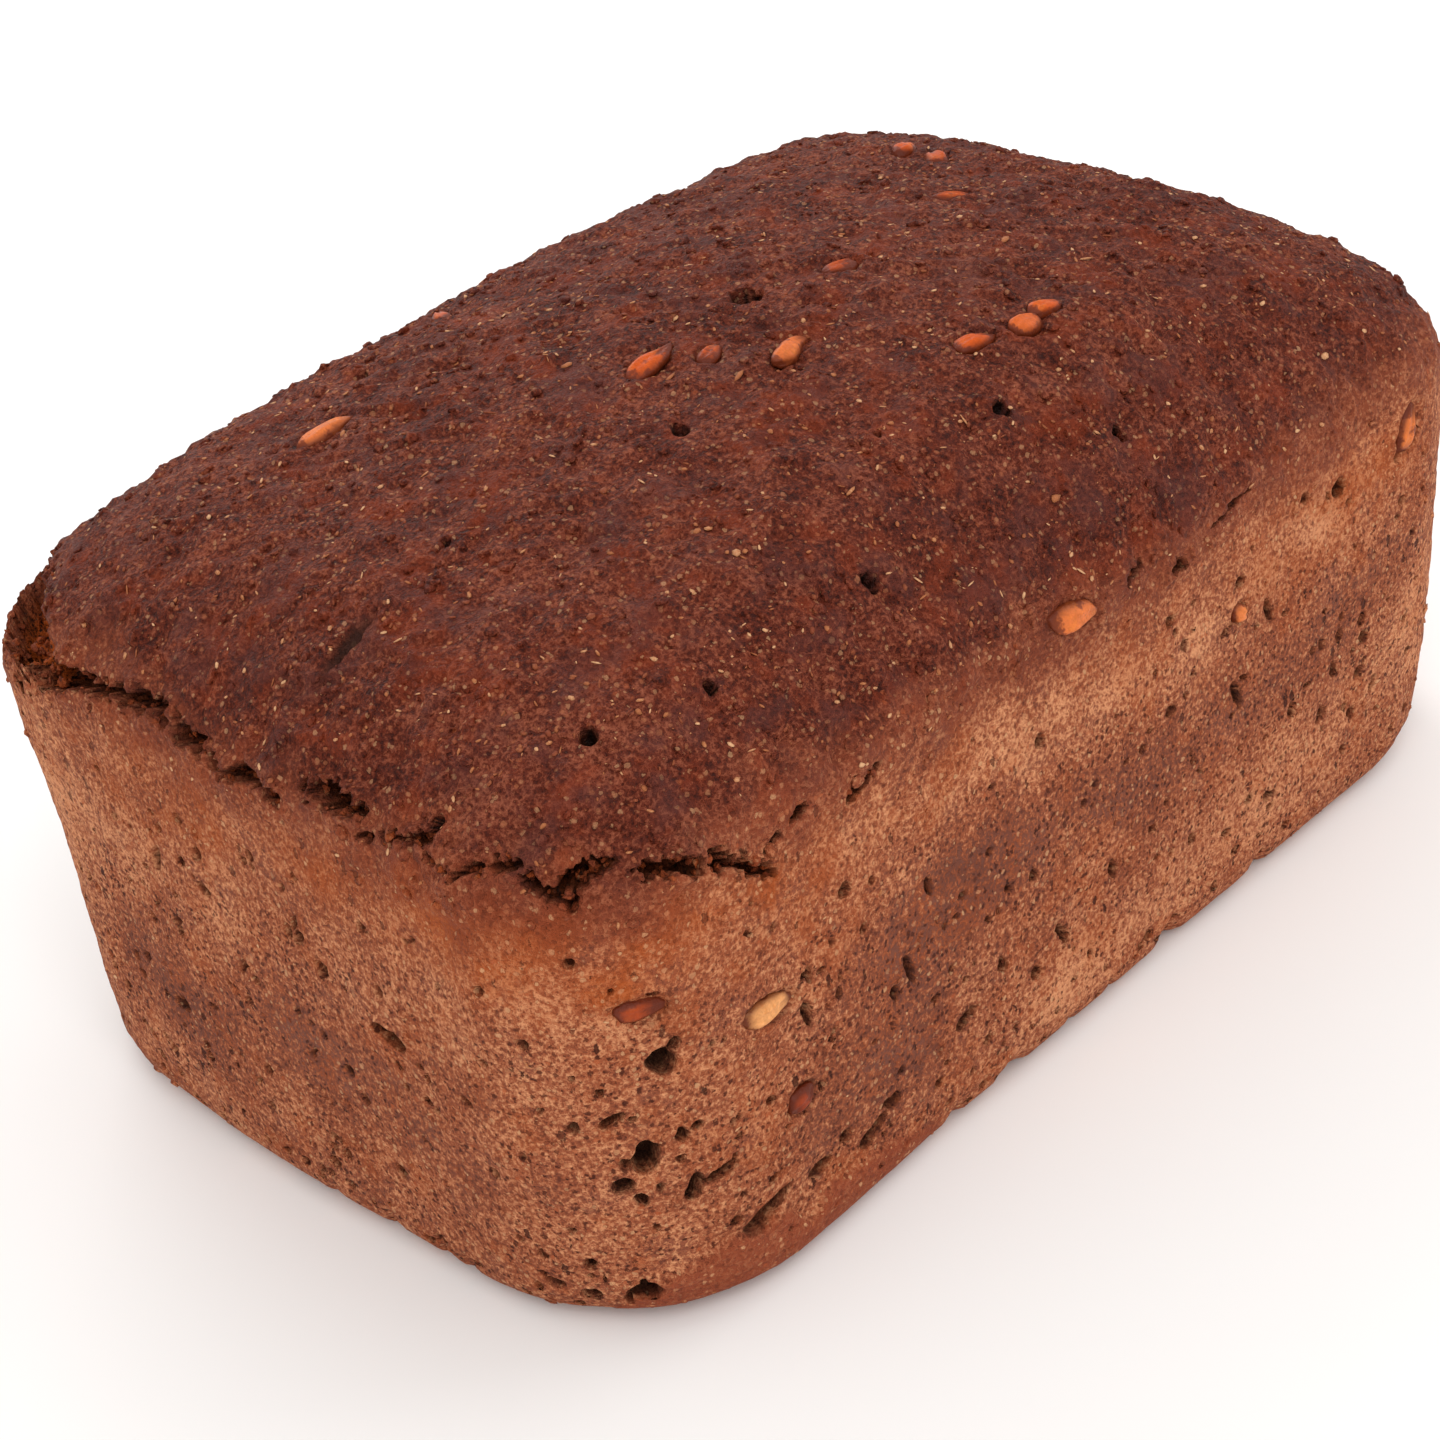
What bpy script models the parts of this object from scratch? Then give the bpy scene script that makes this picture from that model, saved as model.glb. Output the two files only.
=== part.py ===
"""Uncut rye bread baked in a tin: one closed loaf with whole grains baked into its crust.

Metres, +Z up. The loaf lies along X and stands on its flat base at Z = 0, with the
origin under its middle. The short end at -X and the long side at -Y are the shown ones.
Places round the loaf are given as a run: the distance along the rim's outline from the
middle of the -X end, positive towards the -Y side and negative towards the +Y side.
"""
import bmesh
import bpy
import math
import random
from mathutils import Matrix, Vector, noise

# Main sizes
LOAF_LENGTH = 0.1900
LOAF_WIDTH = 0.1267
LOAF_HEIGHT = 0.0976
RIM_HEIGHT = 0.0642
SHOULDER_HEIGHT = 0.0822
SHOULDER_INSET = 0.0240
RIM_CORNER_RADIUS = 0.0203
BASE_CORNER_RADIUS = 0.0296
BASE_EDGE_RADIUS = 0.0060
WALL_BULGE = 0.0011

# Mesh density of the skin
CELLS_LONG = 32
CELLS_WIDE = 22
ROWS_UP = 17
BASE_EDGE_SHARE = 0.12
WALL_SHARE = 0.64

# Unevenness of the dough
BROAD_LUMP_SPACING = 0.030
BROAD_LUMP_HEIGHT = 0.0006
FINE_LUMP_SPACING = 0.012
FINE_LUMP_HEIGHT = 0.0004
LUMP_FADE_HEIGHT = 0.008
TOP_SETTLE = 0.0006
# Where the wall stands out of the even form or sinks in, sideways: x, y, z, reach, amount
SWELLS = [
    (-0.090, 0.057, 0.036, 0.026, -0.0024),
    (-0.095, 0.006, 0.002, 0.026, 0.0015),
    (0.090, -0.057, 0.060, 0.024, 0.0011),
    (0.088, -0.055, 0.012, 0.014, 0.0009),
]

# Oven crack: run, height, inset, width, tilt in degrees, depth
TORN_CRACK = [
    (-0.086, 0.0700, 0.0014, 0.0006, 40, 0.0020),
    (-0.074, 0.0735, 0.0040, 0.0040, 70, 0.0060),
    (-0.060, 0.0745, 0.0050, 0.0074, 80, 0.0085),
    (-0.049, 0.0737, 0.0042, 0.0064, 70, 0.0085),
    (-0.041, 0.0712, 0.0020, 0.0030, 50, 0.0070),
    (-0.033, 0.0700, 0.0012, 0.0024, 35, 0.0060),
    (-0.010, 0.0704, 0.0013, 0.0020, 30, 0.0055),
    (0.006, 0.0706, 0.0013, 0.0014, 30, 0.0045),
    (0.024, 0.0718, 0.0016, 0.0020, 30, 0.0055),
    (0.038, 0.0705, 0.0013, 0.0014, 30, 0.0045),
    (0.052, 0.0708, 0.0014, 0.0018, 30, 0.0050),
    (0.061, 0.0690, 0.0009, 0.0006, 30, 0.0020),
]
SIDE_CRACK = [
    (0.0665, 0.0700, 0.0012, 0.0008, 30, 0.0020),
    (0.0700, 0.0692, 0.0010, 0.0020, 25, 0.0045),
    (0.0780, 0.0660, 0.0004, 0.0018, 20, 0.0045),
    (0.0860, 0.0625, 0.0000, 0.0018, 15, 0.0040),
    (0.0895, 0.0605, 0.0000, 0.0006, 15, 0.0018),
]
EDGE_CRACK = [
    (0.1020, 0.0625, 0.0000, 0.0005, 15, 0.0012),
    (0.1060, 0.0640, 0.0000, 0.0012, 15, 0.0026),
    (0.1130, 0.0668, 0.0005, 0.0005, 20, 0.0012),
]
CRACK_STEP = 0.0032
CRACK_WANDER = 0.0009
CRACK_REACH_OUT = 0.0035
CRACK_FLOOR = 0.0003

# Hollows in the walls: run, height, length along the run, size up, depth, turn in degrees
WALL_HOLLOWS = [
    (0.0665, 0.0447, 0.0042, 0.0048, 0.0030, 20),
    (0.0630, 0.0306, 0.0044, 0.0056, 0.0034, 0),
    (0.0712, 0.0219, 0.0062, 0.0034, 0.0024, 15),
    (0.0590, 0.0262, 0.0040, 0.0036, 0.0022, 0),
    (0.0270, 0.0401, 0.0050, 0.0030, 0.0026, -10),
    (0.1070, 0.0333, 0.0024, 0.0052, 0.0026, 10),
    (0.0870, 0.0385, 0.0024, 0.0046, 0.0024, 15),
    (0.0785, 0.0130, 0.0110, 0.0042, 0.0034, 4),
    (0.0985, 0.0118, 0.0084, 0.0044, 0.0030, -6),
    (0.0600, 0.0070, 0.0070, 0.0034, 0.0024, 0),
    (0.1790, 0.0370, 0.0034, 0.0042, 0.0024, 25),
    (0.1910, 0.0440, 0.0028, 0.0040, 0.0022, 0),
    (0.1500, 0.0240, 0.0044, 0.0030, 0.0022, 30),
]
# Bites out of the bottom edge: run, length, size inward, size up
EDGE_CHIPS = [
    (0.0140, 0.0070, 0.0030, 0.0040),
    (0.0255, 0.0062, 0.0028, 0.0036),
    (0.0330, 0.0046, 0.0022, 0.0030),
    (0.1700, 0.0080, 0.0024, 0.0034),
    (0.1300, 0.0100, 0.0020, 0.0030),
]
# Hollows of the sides that are not shown, drawn from one seed: the outline's share and heights
FAR_HOLLOW_COUNT = 9
FAR_HOLLOW_SEED = 41
FAR_HOLLOW_STRETCH = (0.36, 0.88)
FAR_HOLLOW_HEIGHTS = (0.012, 0.052)
FAR_HOLLOW_LENGTHS = (0.0034, 0.0068)
FAR_HOLLOW_DEPTH = 0.0026

# Grains on the top crust: x, y, length, width, heading in degrees, share of the grain left out
TOP_GRAINS = [
    (-0.0516, 0.0245, 0.0094, 0.0035, -15, 0.50),
    (-0.0210, -0.0078, 0.0092, 0.0038, 7, 0.40),
    (-0.0147, -0.0128, 0.0052, 0.0034, 10, 0.30),
    (-0.0071, -0.0202, 0.0090, 0.0036, 12, 0.48),
    (0.0119, -0.0360, 0.0068, 0.0040, -8, 0.38),
    (0.0203, -0.0379, 0.0064, 0.0042, 10, 0.46),
    (0.0258, -0.0368, 0.0062, 0.0036, 2, 0.42),
    (0.0140, -0.0105, 0.0062, 0.0036, -8, 0.28),
    (0.0631, 0.0203, 0.0068, 0.0040, 15, 0.42),
    (0.0617, 0.0130, 0.0070, 0.0040, 65, 0.38),
    (-0.0180, 0.0390, 0.0070, 0.0036, 70, 0.34),
    (0.0470, -0.0030, 0.0072, 0.0036, -35, 0.28),
]
# Grains in the walls and shoulders: run, height, length, width, turn in degrees, share left out
WALL_GRAINS = [
    (0.1460, 0.0665, 0.0094, 0.0046, -15, 0.50),
    (0.0828, 0.0432, 0.0082, 0.0042, -9, 0.42),
    (0.0650, 0.0528, 0.0068, 0.0040, -10, 0.28),
    (0.1810, 0.0493, 0.0036, 0.0034, 0, 0.46),
    (0.0862, 0.0269, 0.0050, 0.0044, 30, 0.26),
]
# Grains of the sides that are not shown, drawn from one seed
FAR_GRAIN_COUNT = 9
FAR_GRAIN_SEED = 17
FAR_GRAIN_STRETCH = (0.34, 0.89)
FAR_GRAIN_HEIGHTS = (0.018, 0.070)
FAR_GRAIN_LENGTHS = (0.0066, 0.0090)
FAR_GRAIN_WIDTHS = (0.0036, 0.0044)
GRAIN_FLATNESS = 0.86
POD_SIDES = 7
POD_BANDS = 5
WELD_DISTANCE = 0.000001
SMOOTH_ANGLE = 40

CRUST_COLOUR = (0.155, 0.050, 0.026, 1.0)
CRUST_ROUGHNESS = 0.82

HALF_LENGTH = LOAF_LENGTH / 2
HALF_WIDTH = LOAF_WIDTH / 2
END_STRAIGHT = HALF_WIDTH - RIM_CORNER_RADIUS
SIDE_STRAIGHT = HALF_LENGTH - RIM_CORNER_RADIUS
CORNER_ARC = RIM_CORNER_RADIUS * math.pi / 2
OUTLINE_LENGTH = 4 * (END_STRAIGHT + SIDE_STRAIGHT + CORNER_ARC)


def clear_scene():
    """Removes every object that the file opened with."""
    for thing in list(bpy.data.objects):
        bpy.data.objects.remove(thing, do_unlink=True)


def new_collection(name):
    """A collection of this name, linked to the scene."""
    group = bpy.data.collections.new(name)
    bpy.context.scene.collection.children.link(group)
    return group


def smooth_step(value):
    """0 below 0, 1 above 1, and an even S between."""
    held = min(max(value, 0.0), 1.0)
    return held * held * (3 - 2 * held)


def outline_frame(run):
    """Point of the rim's outline at this run, and the outward direction there."""
    left = run % OUTLINE_LENGTH
    corners = [(-SIDE_STRAIGHT, -END_STRAIGHT), (SIDE_STRAIGHT, -END_STRAIGHT),
               (SIDE_STRAIGHT, END_STRAIGHT), (-SIDE_STRAIGHT, END_STRAIGHT)]
    straights = [END_STRAIGHT, 2 * SIDE_STRAIGHT, 2 * END_STRAIGHT, 2 * SIDE_STRAIGHT]
    facing = math.pi
    for (corner_x, corner_y), straight in zip(corners, straights):
        along = Vector((-math.sin(facing), math.cos(facing)))
        outward = Vector((math.cos(facing), math.sin(facing)))
        start = Vector((corner_x, corner_y)) + outward * RIM_CORNER_RADIUS
        if left < straight:
            return start - along * (straight - left), outward
        left -= straight
        if left < CORNER_ARC:
            angle = facing + left / RIM_CORNER_RADIUS
            outward = Vector((math.cos(angle), math.sin(angle)))
            return Vector((corner_x, corner_y)) + outward * RIM_CORNER_RADIUS, outward
        left -= CORNER_ARC
        facing += math.pi / 2
    outward = Vector((math.cos(facing), math.sin(facing)))
    along = Vector((-math.sin(facing), math.cos(facing)))
    return Vector((-HALF_LENGTH, END_STRAIGHT)) + along * left, outward


def dome_height(x, y):
    """How far the risen top stands over the shoulder's height."""
    rise = LOAF_HEIGHT - SHOULDER_HEIGHT
    return rise * (1 - (x / HALF_LENGTH) ** 2) * (1 - (y / HALF_WIDTH) ** 2)


def wall_profile(share):
    """Inset, height and share of the shoulder's turn, from the base (0) to the plateau (1)."""
    if share < BASE_EDGE_SHARE:
        angle = share / BASE_EDGE_SHARE * math.pi / 2
        return BASE_EDGE_RADIUS * (1 - math.sin(angle)), BASE_EDGE_RADIUS * (1 - math.cos(angle)), 0.0
    if share < WALL_SHARE:
        climb = (share - BASE_EDGE_SHARE) / (WALL_SHARE - BASE_EDGE_SHARE)
        height = BASE_EDGE_RADIUS + climb * (RIM_HEIGHT - BASE_EDGE_RADIUS)
        return -WALL_BULGE * math.sin(math.pi * height / RIM_HEIGHT), height, 0.0
    angle = (share - WALL_SHARE) / (1 - WALL_SHARE) * math.pi / 2
    turn = math.sin(angle)
    height = RIM_HEIGHT + (SHOULDER_HEIGHT - RIM_HEIGHT) * turn
    return SHOULDER_INSET * (1 - math.cos(angle)), height, turn


def rounded_place(u, v, half_x, half_y, radius):
    """Where a point of the unit square lands in a rectangle with round corners."""
    x = abs(u) * half_x
    y = abs(v) * half_y
    core_x = min(x, half_x - radius)
    core_y = min(y, half_y - radius)
    spare = Vector((x - core_x, y - core_y))
    if spare.length > 0:
        spare = spare.normalized() * max(spare.x, spare.y)
    return math.copysign(core_x + spare.x, u), math.copysign(core_y + spare.y, v)


def skin_place(u, v, w):
    """Where a point of the unit cube's surface lands on the even loaf."""
    on_plateau = w > 0.999 and max(abs(u), abs(v)) < 0.999
    inset, height, turn = wall_profile((w + 1) / 2)
    low = max(0.0, 1 - height / RIM_HEIGHT)
    radius = RIM_CORNER_RADIUS + (BASE_CORNER_RADIUS - RIM_CORNER_RADIUS) * low
    x, y = rounded_place(u, v, HALF_LENGTH - inset, HALF_WIDTH - inset, radius)
    if on_plateau:
        turn = 1.0
    return Vector((x, y, height + dome_height(x, y) * turn))


def lump(place):
    """How far the dough stands out or in at this place, none at the base."""
    fade = smooth_step(place.z / LUMP_FADE_HEIGHT)
    settled = TOP_SETTLE * smooth_step((place.z - RIM_HEIGHT) / (SHOULDER_HEIGHT - RIM_HEIGHT))
    broad = noise.noise(place / BROAD_LUMP_SPACING) * BROAD_LUMP_HEIGHT
    fine = noise.noise(place / FINE_LUMP_SPACING + Vector((5, 9, 2))) * FINE_LUMP_HEIGHT
    return (broad + fine) * fade - settled


def swell(place):
    """Sideways move of the wall where the loaf departs from its even form."""
    amount = sum(gain * math.exp(-((place - Vector((x, y, z))).length / reach) ** 2)
                 for x, y, z, reach, gain in SWELLS)
    core_x = min(max(place.x, -SIDE_STRAIGHT), SIDE_STRAIGHT)
    core_y = min(max(place.y, -END_STRAIGHT), END_STRAIGHT)
    return Vector((place.x - core_x, place.y - core_y, 0)).normalized() * amount


def uneven(place, normal):
    """The place with the dough's lumps and the wall's swells added."""
    return place + normal * lump(place) + swell(place)


def wall_frame(run, height):
    """Place on the wall or shoulder at this run and height, and the outward normal there."""
    point, outward = outline_frame(run)
    turn = min(max((height - RIM_HEIGHT) / (SHOULDER_HEIGHT - RIM_HEIGHT), 0.0), 0.98)
    inset = SHOULDER_INSET * (1 - math.sqrt(1 - turn ** 2))
    steepness = turn / math.sqrt(1 - turn ** 2) * SHOULDER_INSET / (SHOULDER_HEIGHT - RIM_HEIGHT)
    normal = Vector((outward.x, outward.y, steepness)).normalized()
    place = Vector((point.x - outward.x * inset, point.y - outward.y * inset, height))
    return uneven(place, normal), normal


def top_frame(x, y):
    """Place on the top crust over x and y, and the outward normal there."""
    height = SHOULDER_HEIGHT + dome_height(x, y)
    rise = LOAF_HEIGHT - SHOULDER_HEIGHT
    slope_x = -2 * rise * x / HALF_LENGTH ** 2 * (1 - (y / HALF_WIDTH) ** 2)
    slope_y = -2 * rise * y / HALF_WIDTH ** 2 * (1 - (x / HALF_LENGTH) ** 2)
    normal = Vector((-slope_x, -slope_y, 1)).normalized()
    place = Vector((x, y, height))
    return uneven(place, normal), normal


def new_object(mesh_maker, name, group):
    """An object made from a bmesh, in this collection."""
    mesh = bpy.data.meshes.new(name)
    mesh_maker.to_mesh(mesh)
    mesh_maker.free()
    thing = bpy.data.objects.new(name, mesh)
    group.objects.link(thing)
    return thing


def divided_cube(cuts_x, cuts_y, cuts_z):
    """A cube from -1 to 1 with its edges cut this many times along each axis."""
    shape = bmesh.new()
    bmesh.ops.create_cube(shape, size=2)
    for axis, cuts in enumerate((cuts_x, cuts_y, cuts_z)):
        if cuts == 0:
            continue
        along = [e for e in shape.edges
                 if abs(e.verts[0].co[axis] - e.verts[1].co[axis]) > 1.9]
        bmesh.ops.subdivide_edges(shape, edges=along, cuts=cuts, use_grid_fill=True)
    return shape


def build_skin(group):
    """The loaf's outer form, before cracks, hollows and grains."""
    shape = divided_cube(CELLS_LONG - 1, CELLS_WIDE - 1, ROWS_UP - 1)
    for vert in shape.verts:
        vert.co = skin_place(*vert.co)
    base = [f for f in shape.faces if all(v.co.z < 1e-6 for v in f.verts)]
    bmesh.ops.dissolve_faces(shape, faces=base, use_verts=True)
    bmesh.ops.recalc_face_normals(shape, faces=shape.faces)
    shape.normal_update()
    moved = [(vert, uneven(vert.co, vert.normal)) for vert in shape.verts]
    for vert, place in moved:
        vert.co = place
    return new_object(shape, "loaf", group)


def station_at(stations, run):
    """The crack's values at this run, between its stations."""
    for before, after in zip(stations, stations[1:]):
        if run <= after[0]:
            share = (run - before[0]) / (after[0] - before[0])
            return [a + (b - a) * share for a, b in zip(before, after)]
    return list(stations[-1])


def build_crack(name, stations, seed, group):
    """A jagged wedge that opens the crust along its stations."""
    draw = random.Random(seed)
    first, last = stations[0][0], stations[-1][0]
    steps = max(4, round((last - first) / CRACK_STEP))
    jogs = [(draw.uniform(-1, 1), draw.uniform(0.6, 1.3)) for _ in range(steps + 1)]
    shape = divided_cube(steps - 1, 0, 0)
    for vert in shape.verts:
        share = (vert.co.x + 1) / 2
        wander, swell = jogs[round(share * steps)]
        run, height, inset, width, tilt, depth = station_at(stations, first + share * (last - first))
        point, outward = outline_frame(run)
        level = Vector((outward.x, outward.y, 0))
        lean = math.radians(tilt)
        opening = level * math.cos(lean) + Vector((0, 0, math.sin(lean)))
        across = Vector((0, 0, math.cos(lean))) - level * math.sin(lean)
        middle = Vector((point.x, point.y, height)) - level * inset + across * (wander * CRACK_WANDER)
        if vert.co.y < 0:
            mouth = width * swell * (1 + CRACK_REACH_OUT / depth)
            vert.co = middle + opening * CRACK_REACH_OUT + across * (mouth / 2 * vert.co.z)
        else:
            vert.co = middle - opening * depth * swell + across * (CRACK_FLOOR / 2 * vert.co.z)
    return new_object(shape, name, group)


def surface_turn(normal, turn):
    """Rotation that lays a shape's Z on the normal and its X at this turn from level."""
    side = Vector((0, 0, 1)).cross(normal)
    if side.length < 0.3:
        side = Vector((1, 0, 0))
    side.normalize()
    up = normal.cross(side).normalized()
    side = up.cross(normal).normalized()
    frame = Matrix((side, up, normal)).transposed().to_4x4()
    return frame @ Matrix.Rotation(math.radians(turn), 4, "Z")


def spread_run(stretch, number, count, draw):
    """A run for one of several things set along this stretch of the outline, roughly evenly."""
    first, last = stretch
    share = (number + draw.uniform(0.15, 0.85)) / count
    return OUTLINE_LENGTH * (first + (last - first) * share)


def build_pod(name, place, normal, turn, size, group):
    """A long round body of this size, lying on the surface."""
    shape = bmesh.new()
    bmesh.ops.create_uvsphere(shape, u_segments=POD_SIDES, v_segments=POD_BANDS, radius=0.5)
    bmesh.ops.rotate(shape, verts=shape.verts, cent=(0, 0, 0),
                     matrix=Matrix.Rotation(math.pi / 2, 3, "Y"))
    bmesh.ops.scale(shape, vec=size, verts=shape.verts)
    bmesh.ops.transform(shape, verts=shape.verts,
                        matrix=Matrix.Translation(place) @ surface_turn(normal, turn))
    return new_object(shape, name, group)


def build_hollows(group):
    """Bubbles that broke through the walls, and bites out of the bottom edge."""
    for number, (run, height, length, rise, depth, turn) in enumerate(WALL_HOLLOWS):
        place, normal = wall_frame(run, height)
        build_pod(f"hollow_{number:02d}", place, normal, turn, (length, rise, 2 * depth), group)
    draw = random.Random(FAR_HOLLOW_SEED)
    for number in range(FAR_HOLLOW_COUNT):
        run = spread_run(FAR_HOLLOW_STRETCH, number, FAR_HOLLOW_COUNT, draw)
        place, normal = wall_frame(run, draw.uniform(*FAR_HOLLOW_HEIGHTS))
        length = draw.uniform(*FAR_HOLLOW_LENGTHS)
        size = (length, length * draw.uniform(0.5, 0.9), 2 * FAR_HOLLOW_DEPTH)
        build_pod(f"far_hollow_{number:02d}", place, normal, draw.uniform(-40, 40), size, group)
    for number, (run, length, inward, rise) in enumerate(EDGE_CHIPS):
        point, outward = outline_frame(run)
        normal = Vector((outward.x, outward.y, 0))
        level = Vector((point.x, point.y, BASE_EDGE_RADIUS * 0.42))
        place = level - normal * BASE_EDGE_RADIUS * 0.5
        build_pod(f"chip_{number:02d}", place, normal, 0, (length, rise, 2 * inward), group)


def build_grain(name, place, normal, turn, length, width, left_out, group):
    """One whole grain, sunk in the crust but for the share that is left out."""
    thickness = width * GRAIN_FLATNESS
    middle = place + normal * thickness * (left_out - 0.5)
    return build_pod(name, middle, normal, turn, (length, width, thickness), group)


def build_grains(group):
    """Every grain that shows in the crust."""
    for number, (x, y, length, width, heading, left_out) in enumerate(TOP_GRAINS):
        place, normal = top_frame(x, y)
        build_grain(f"top_grain_{number:02d}", place, normal, heading, length, width, left_out, group)
    for number, (run, height, length, width, turn, left_out) in enumerate(WALL_GRAINS):
        place, normal = wall_frame(run, height)
        build_grain(f"wall_grain_{number:02d}", place, normal, turn, length, width, left_out, group)
    draw = random.Random(FAR_GRAIN_SEED)
    for number in range(FAR_GRAIN_COUNT):
        run = spread_run(FAR_GRAIN_STRETCH, number, FAR_GRAIN_COUNT, draw)
        place, normal = wall_frame(run, draw.uniform(*FAR_GRAIN_HEIGHTS))
        turn, left_out = draw.uniform(-60, 60), draw.uniform(0.26, 0.44)
        length, width = draw.uniform(*FAR_GRAIN_LENGTHS), draw.uniform(*FAR_GRAIN_WIDTHS)
        build_grain(f"far_grain_{number:02d}", place, normal, turn, length, width, left_out, group)


def combine(target, group, operation):
    """Cuts the group out of the target, or joins it on, and removes the group's objects.

    The exact solver leaves open edges where the crack meets the skin, so this is the manifold one.
    """
    step = target.modifiers.new(operation.lower(), "BOOLEAN")
    step.operation = operation
    step.operand_type = "COLLECTION"
    step.collection = group
    step.solver = "MANIFOLD"
    depsgraph = bpy.context.evaluated_depsgraph_get()
    result = bpy.data.meshes.new_from_object(target.evaluated_get(depsgraph))
    target.modifiers.clear()
    target.data = result
    for thing in list(group.objects):
        bpy.data.objects.remove(thing, do_unlink=True)
    bpy.data.collections.remove(group)


def keep_largest_shell(target):
    """Drops loose scraps and sealed bubbles, so one closed shell is left."""
    shape = bmesh.new()
    shape.from_mesh(target.data)
    bmesh.ops.remove_doubles(shape, verts=shape.verts, dist=WELD_DISTANCE)
    shells = []
    seen = set()
    for first in shape.faces:
        if first in seen:
            continue
        shell = [first]
        seen.add(first)
        for face in shell:
            for edge in face.edges:
                for other in edge.link_faces:
                    if other not in seen:
                        seen.add(other)
                        shell.append(other)
        shells.append(shell)
    shells.sort(key=len)
    scraps = [face for shell in shells[:-1] for face in shell]
    if scraps:
        bmesh.ops.delete(shape, geom=scraps, context="FACES")
    bmesh.ops.triangulate(shape, faces=shape.faces)
    shape.to_mesh(target.data)
    shape.free()


def crust_material():
    """Dark baked rye crust."""
    crust = bpy.data.materials.new("rye_crust")
    crust.use_nodes = True
    shader = crust.node_tree.nodes["Principled BSDF"]
    shader.inputs["Base Color"].default_value = CRUST_COLOUR
    shader.inputs["Roughness"].default_value = CRUST_ROUGHNESS
    shader.inputs["Metallic"].default_value = 0.0
    return crust


def build_loaf():
    """The whole loaf as one object."""
    clear_scene()
    parts = new_collection("rye_bread")
    cutters = new_collection("cutters")
    grains = new_collection("grains")
    loaf = build_skin(parts)
    build_crack("torn_crack", TORN_CRACK, 3, cutters)
    build_crack("side_crack", SIDE_CRACK, 5, cutters)
    build_crack("edge_crack", EDGE_CRACK, 7, cutters)
    build_hollows(cutters)
    for cutter in cutters.objects:
        cutter.hide_render = True
        cutter.display_type = "WIRE"
    combine(loaf, cutters, "DIFFERENCE")
    build_grains(grains)
    combine(loaf, grains, "UNION")
    keep_largest_shell(loaf)
    loaf.data.materials.clear()
    loaf.data.materials.append(crust_material())
    loaf.data.shade_smooth()
    loaf.data.set_sharp_from_angle(angle=math.radians(SMOOTH_ANGLE))


build_loaf()
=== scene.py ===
# Looks of a whole rye bread baked in a tin: the crust, its whole grains, bran and crumbs
import bpy
import math
import numpy as np
import random
from mathutils import Matrix, Vector, noise
from mathutils.bvhtree import BVHTree


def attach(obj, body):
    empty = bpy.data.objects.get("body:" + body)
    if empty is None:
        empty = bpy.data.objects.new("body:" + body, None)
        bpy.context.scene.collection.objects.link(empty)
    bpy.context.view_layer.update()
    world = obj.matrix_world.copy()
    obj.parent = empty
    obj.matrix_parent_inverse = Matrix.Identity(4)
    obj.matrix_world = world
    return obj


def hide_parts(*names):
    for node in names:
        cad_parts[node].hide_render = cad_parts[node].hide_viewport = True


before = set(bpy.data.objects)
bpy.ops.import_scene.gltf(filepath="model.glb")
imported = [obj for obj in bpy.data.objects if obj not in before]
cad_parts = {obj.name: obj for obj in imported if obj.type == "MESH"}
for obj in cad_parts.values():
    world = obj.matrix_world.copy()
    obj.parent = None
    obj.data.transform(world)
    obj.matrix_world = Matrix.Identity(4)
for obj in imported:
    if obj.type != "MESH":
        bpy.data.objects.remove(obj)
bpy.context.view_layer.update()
mm = 0.001

# Camera, at the photograph's viewing angle
view = {"place": (-0.26117, -0.27480, 0.26681), "turn": (57.410, 6.390, -46.509), "lens": 74.63}

bpy.ops.object.select_all(action="DESELECT")
bpy.ops.object.camera_add(location=view["place"], rotation=[math.radians(a) for a in view["turn"]])
camera = bpy.context.object
camera.name = "photoCamera"
camera.data.lens = view["lens"]
camera.data.sensor_width = 36
camera.data.clip_start = 0.01
bpy.context.scene.camera = camera
bpy.context.scene.view_settings.view_transform = "Standard"
print("camera set")

# The loaf's even form, with the sizes of the solid
loaf = {
    "length": 0.1900, "width": 0.1267, "height": 0.0976,
    "rimHeight": 0.0642, "shoulderHeight": 0.0822, "shoulderInset": 0.0240,
    "rimCorner": 0.0203, "baseCorner": 0.0296, "baseEdge": 0.0060, "wallBulge": 0.0011,
    "baseShare": 0.12, "wallShare": 0.64,      # shares of the rows that climb the base edge and the wall
    "cells": (96, 64, 56), "smoothing": 2,     # cuts along x, y and z, and how often each cell is halved
    "broadLump": (0.030, 0.0006), "fineLump": (0.012, 0.0004), "topSettle": 0.0006,
    "swells": [(-90, 57, 36, 26, -2.4), (-95, 6, 2, 26, 1.5), (90, -57, 60, 24, 1.1),
               (88, -55, 12, 14, 0.9)],
    "triangles": 192000,
}
halfLength = loaf["length"] / 2
halfWidth = loaf["width"] / 2
endStraight = halfWidth - loaf["rimCorner"]
sideStraight = halfLength - loaf["rimCorner"]
cornerArc = loaf["rimCorner"] * math.pi / 2
outlineLength = 4 * (endStraight + sideStraight + cornerArc)


def softStep(low, high, value):                # 0 at low, 1 at high, soft between
    share = np.clip((value - low) / (high - low), 0, 1)
    return share * share * (3 - 2 * share)


def readPlaces(piece):
    places = np.empty(len(piece.data.vertices) * 3)
    piece.data.vertices.foreach_get("co", places)
    return places.reshape(-1, 3)


def readNormals(piece):
    normals = np.empty(len(piece.data.vertices) * 3)
    piece.data.vertices.foreach_get("normal", normals)
    return normals.reshape(-1, 3)


def writePlaces(piece, places):
    piece.data.vertices.foreach_set("co", places.ravel())
    piece.data.update()


def writeMask(piece, name, values):            # one number at each point, for the material
    mask = piece.data.attributes.get(name) or piece.data.attributes.new(name, "FLOAT", "POINT")
    mask.data.foreach_set("value", values.astype(np.float32))


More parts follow.
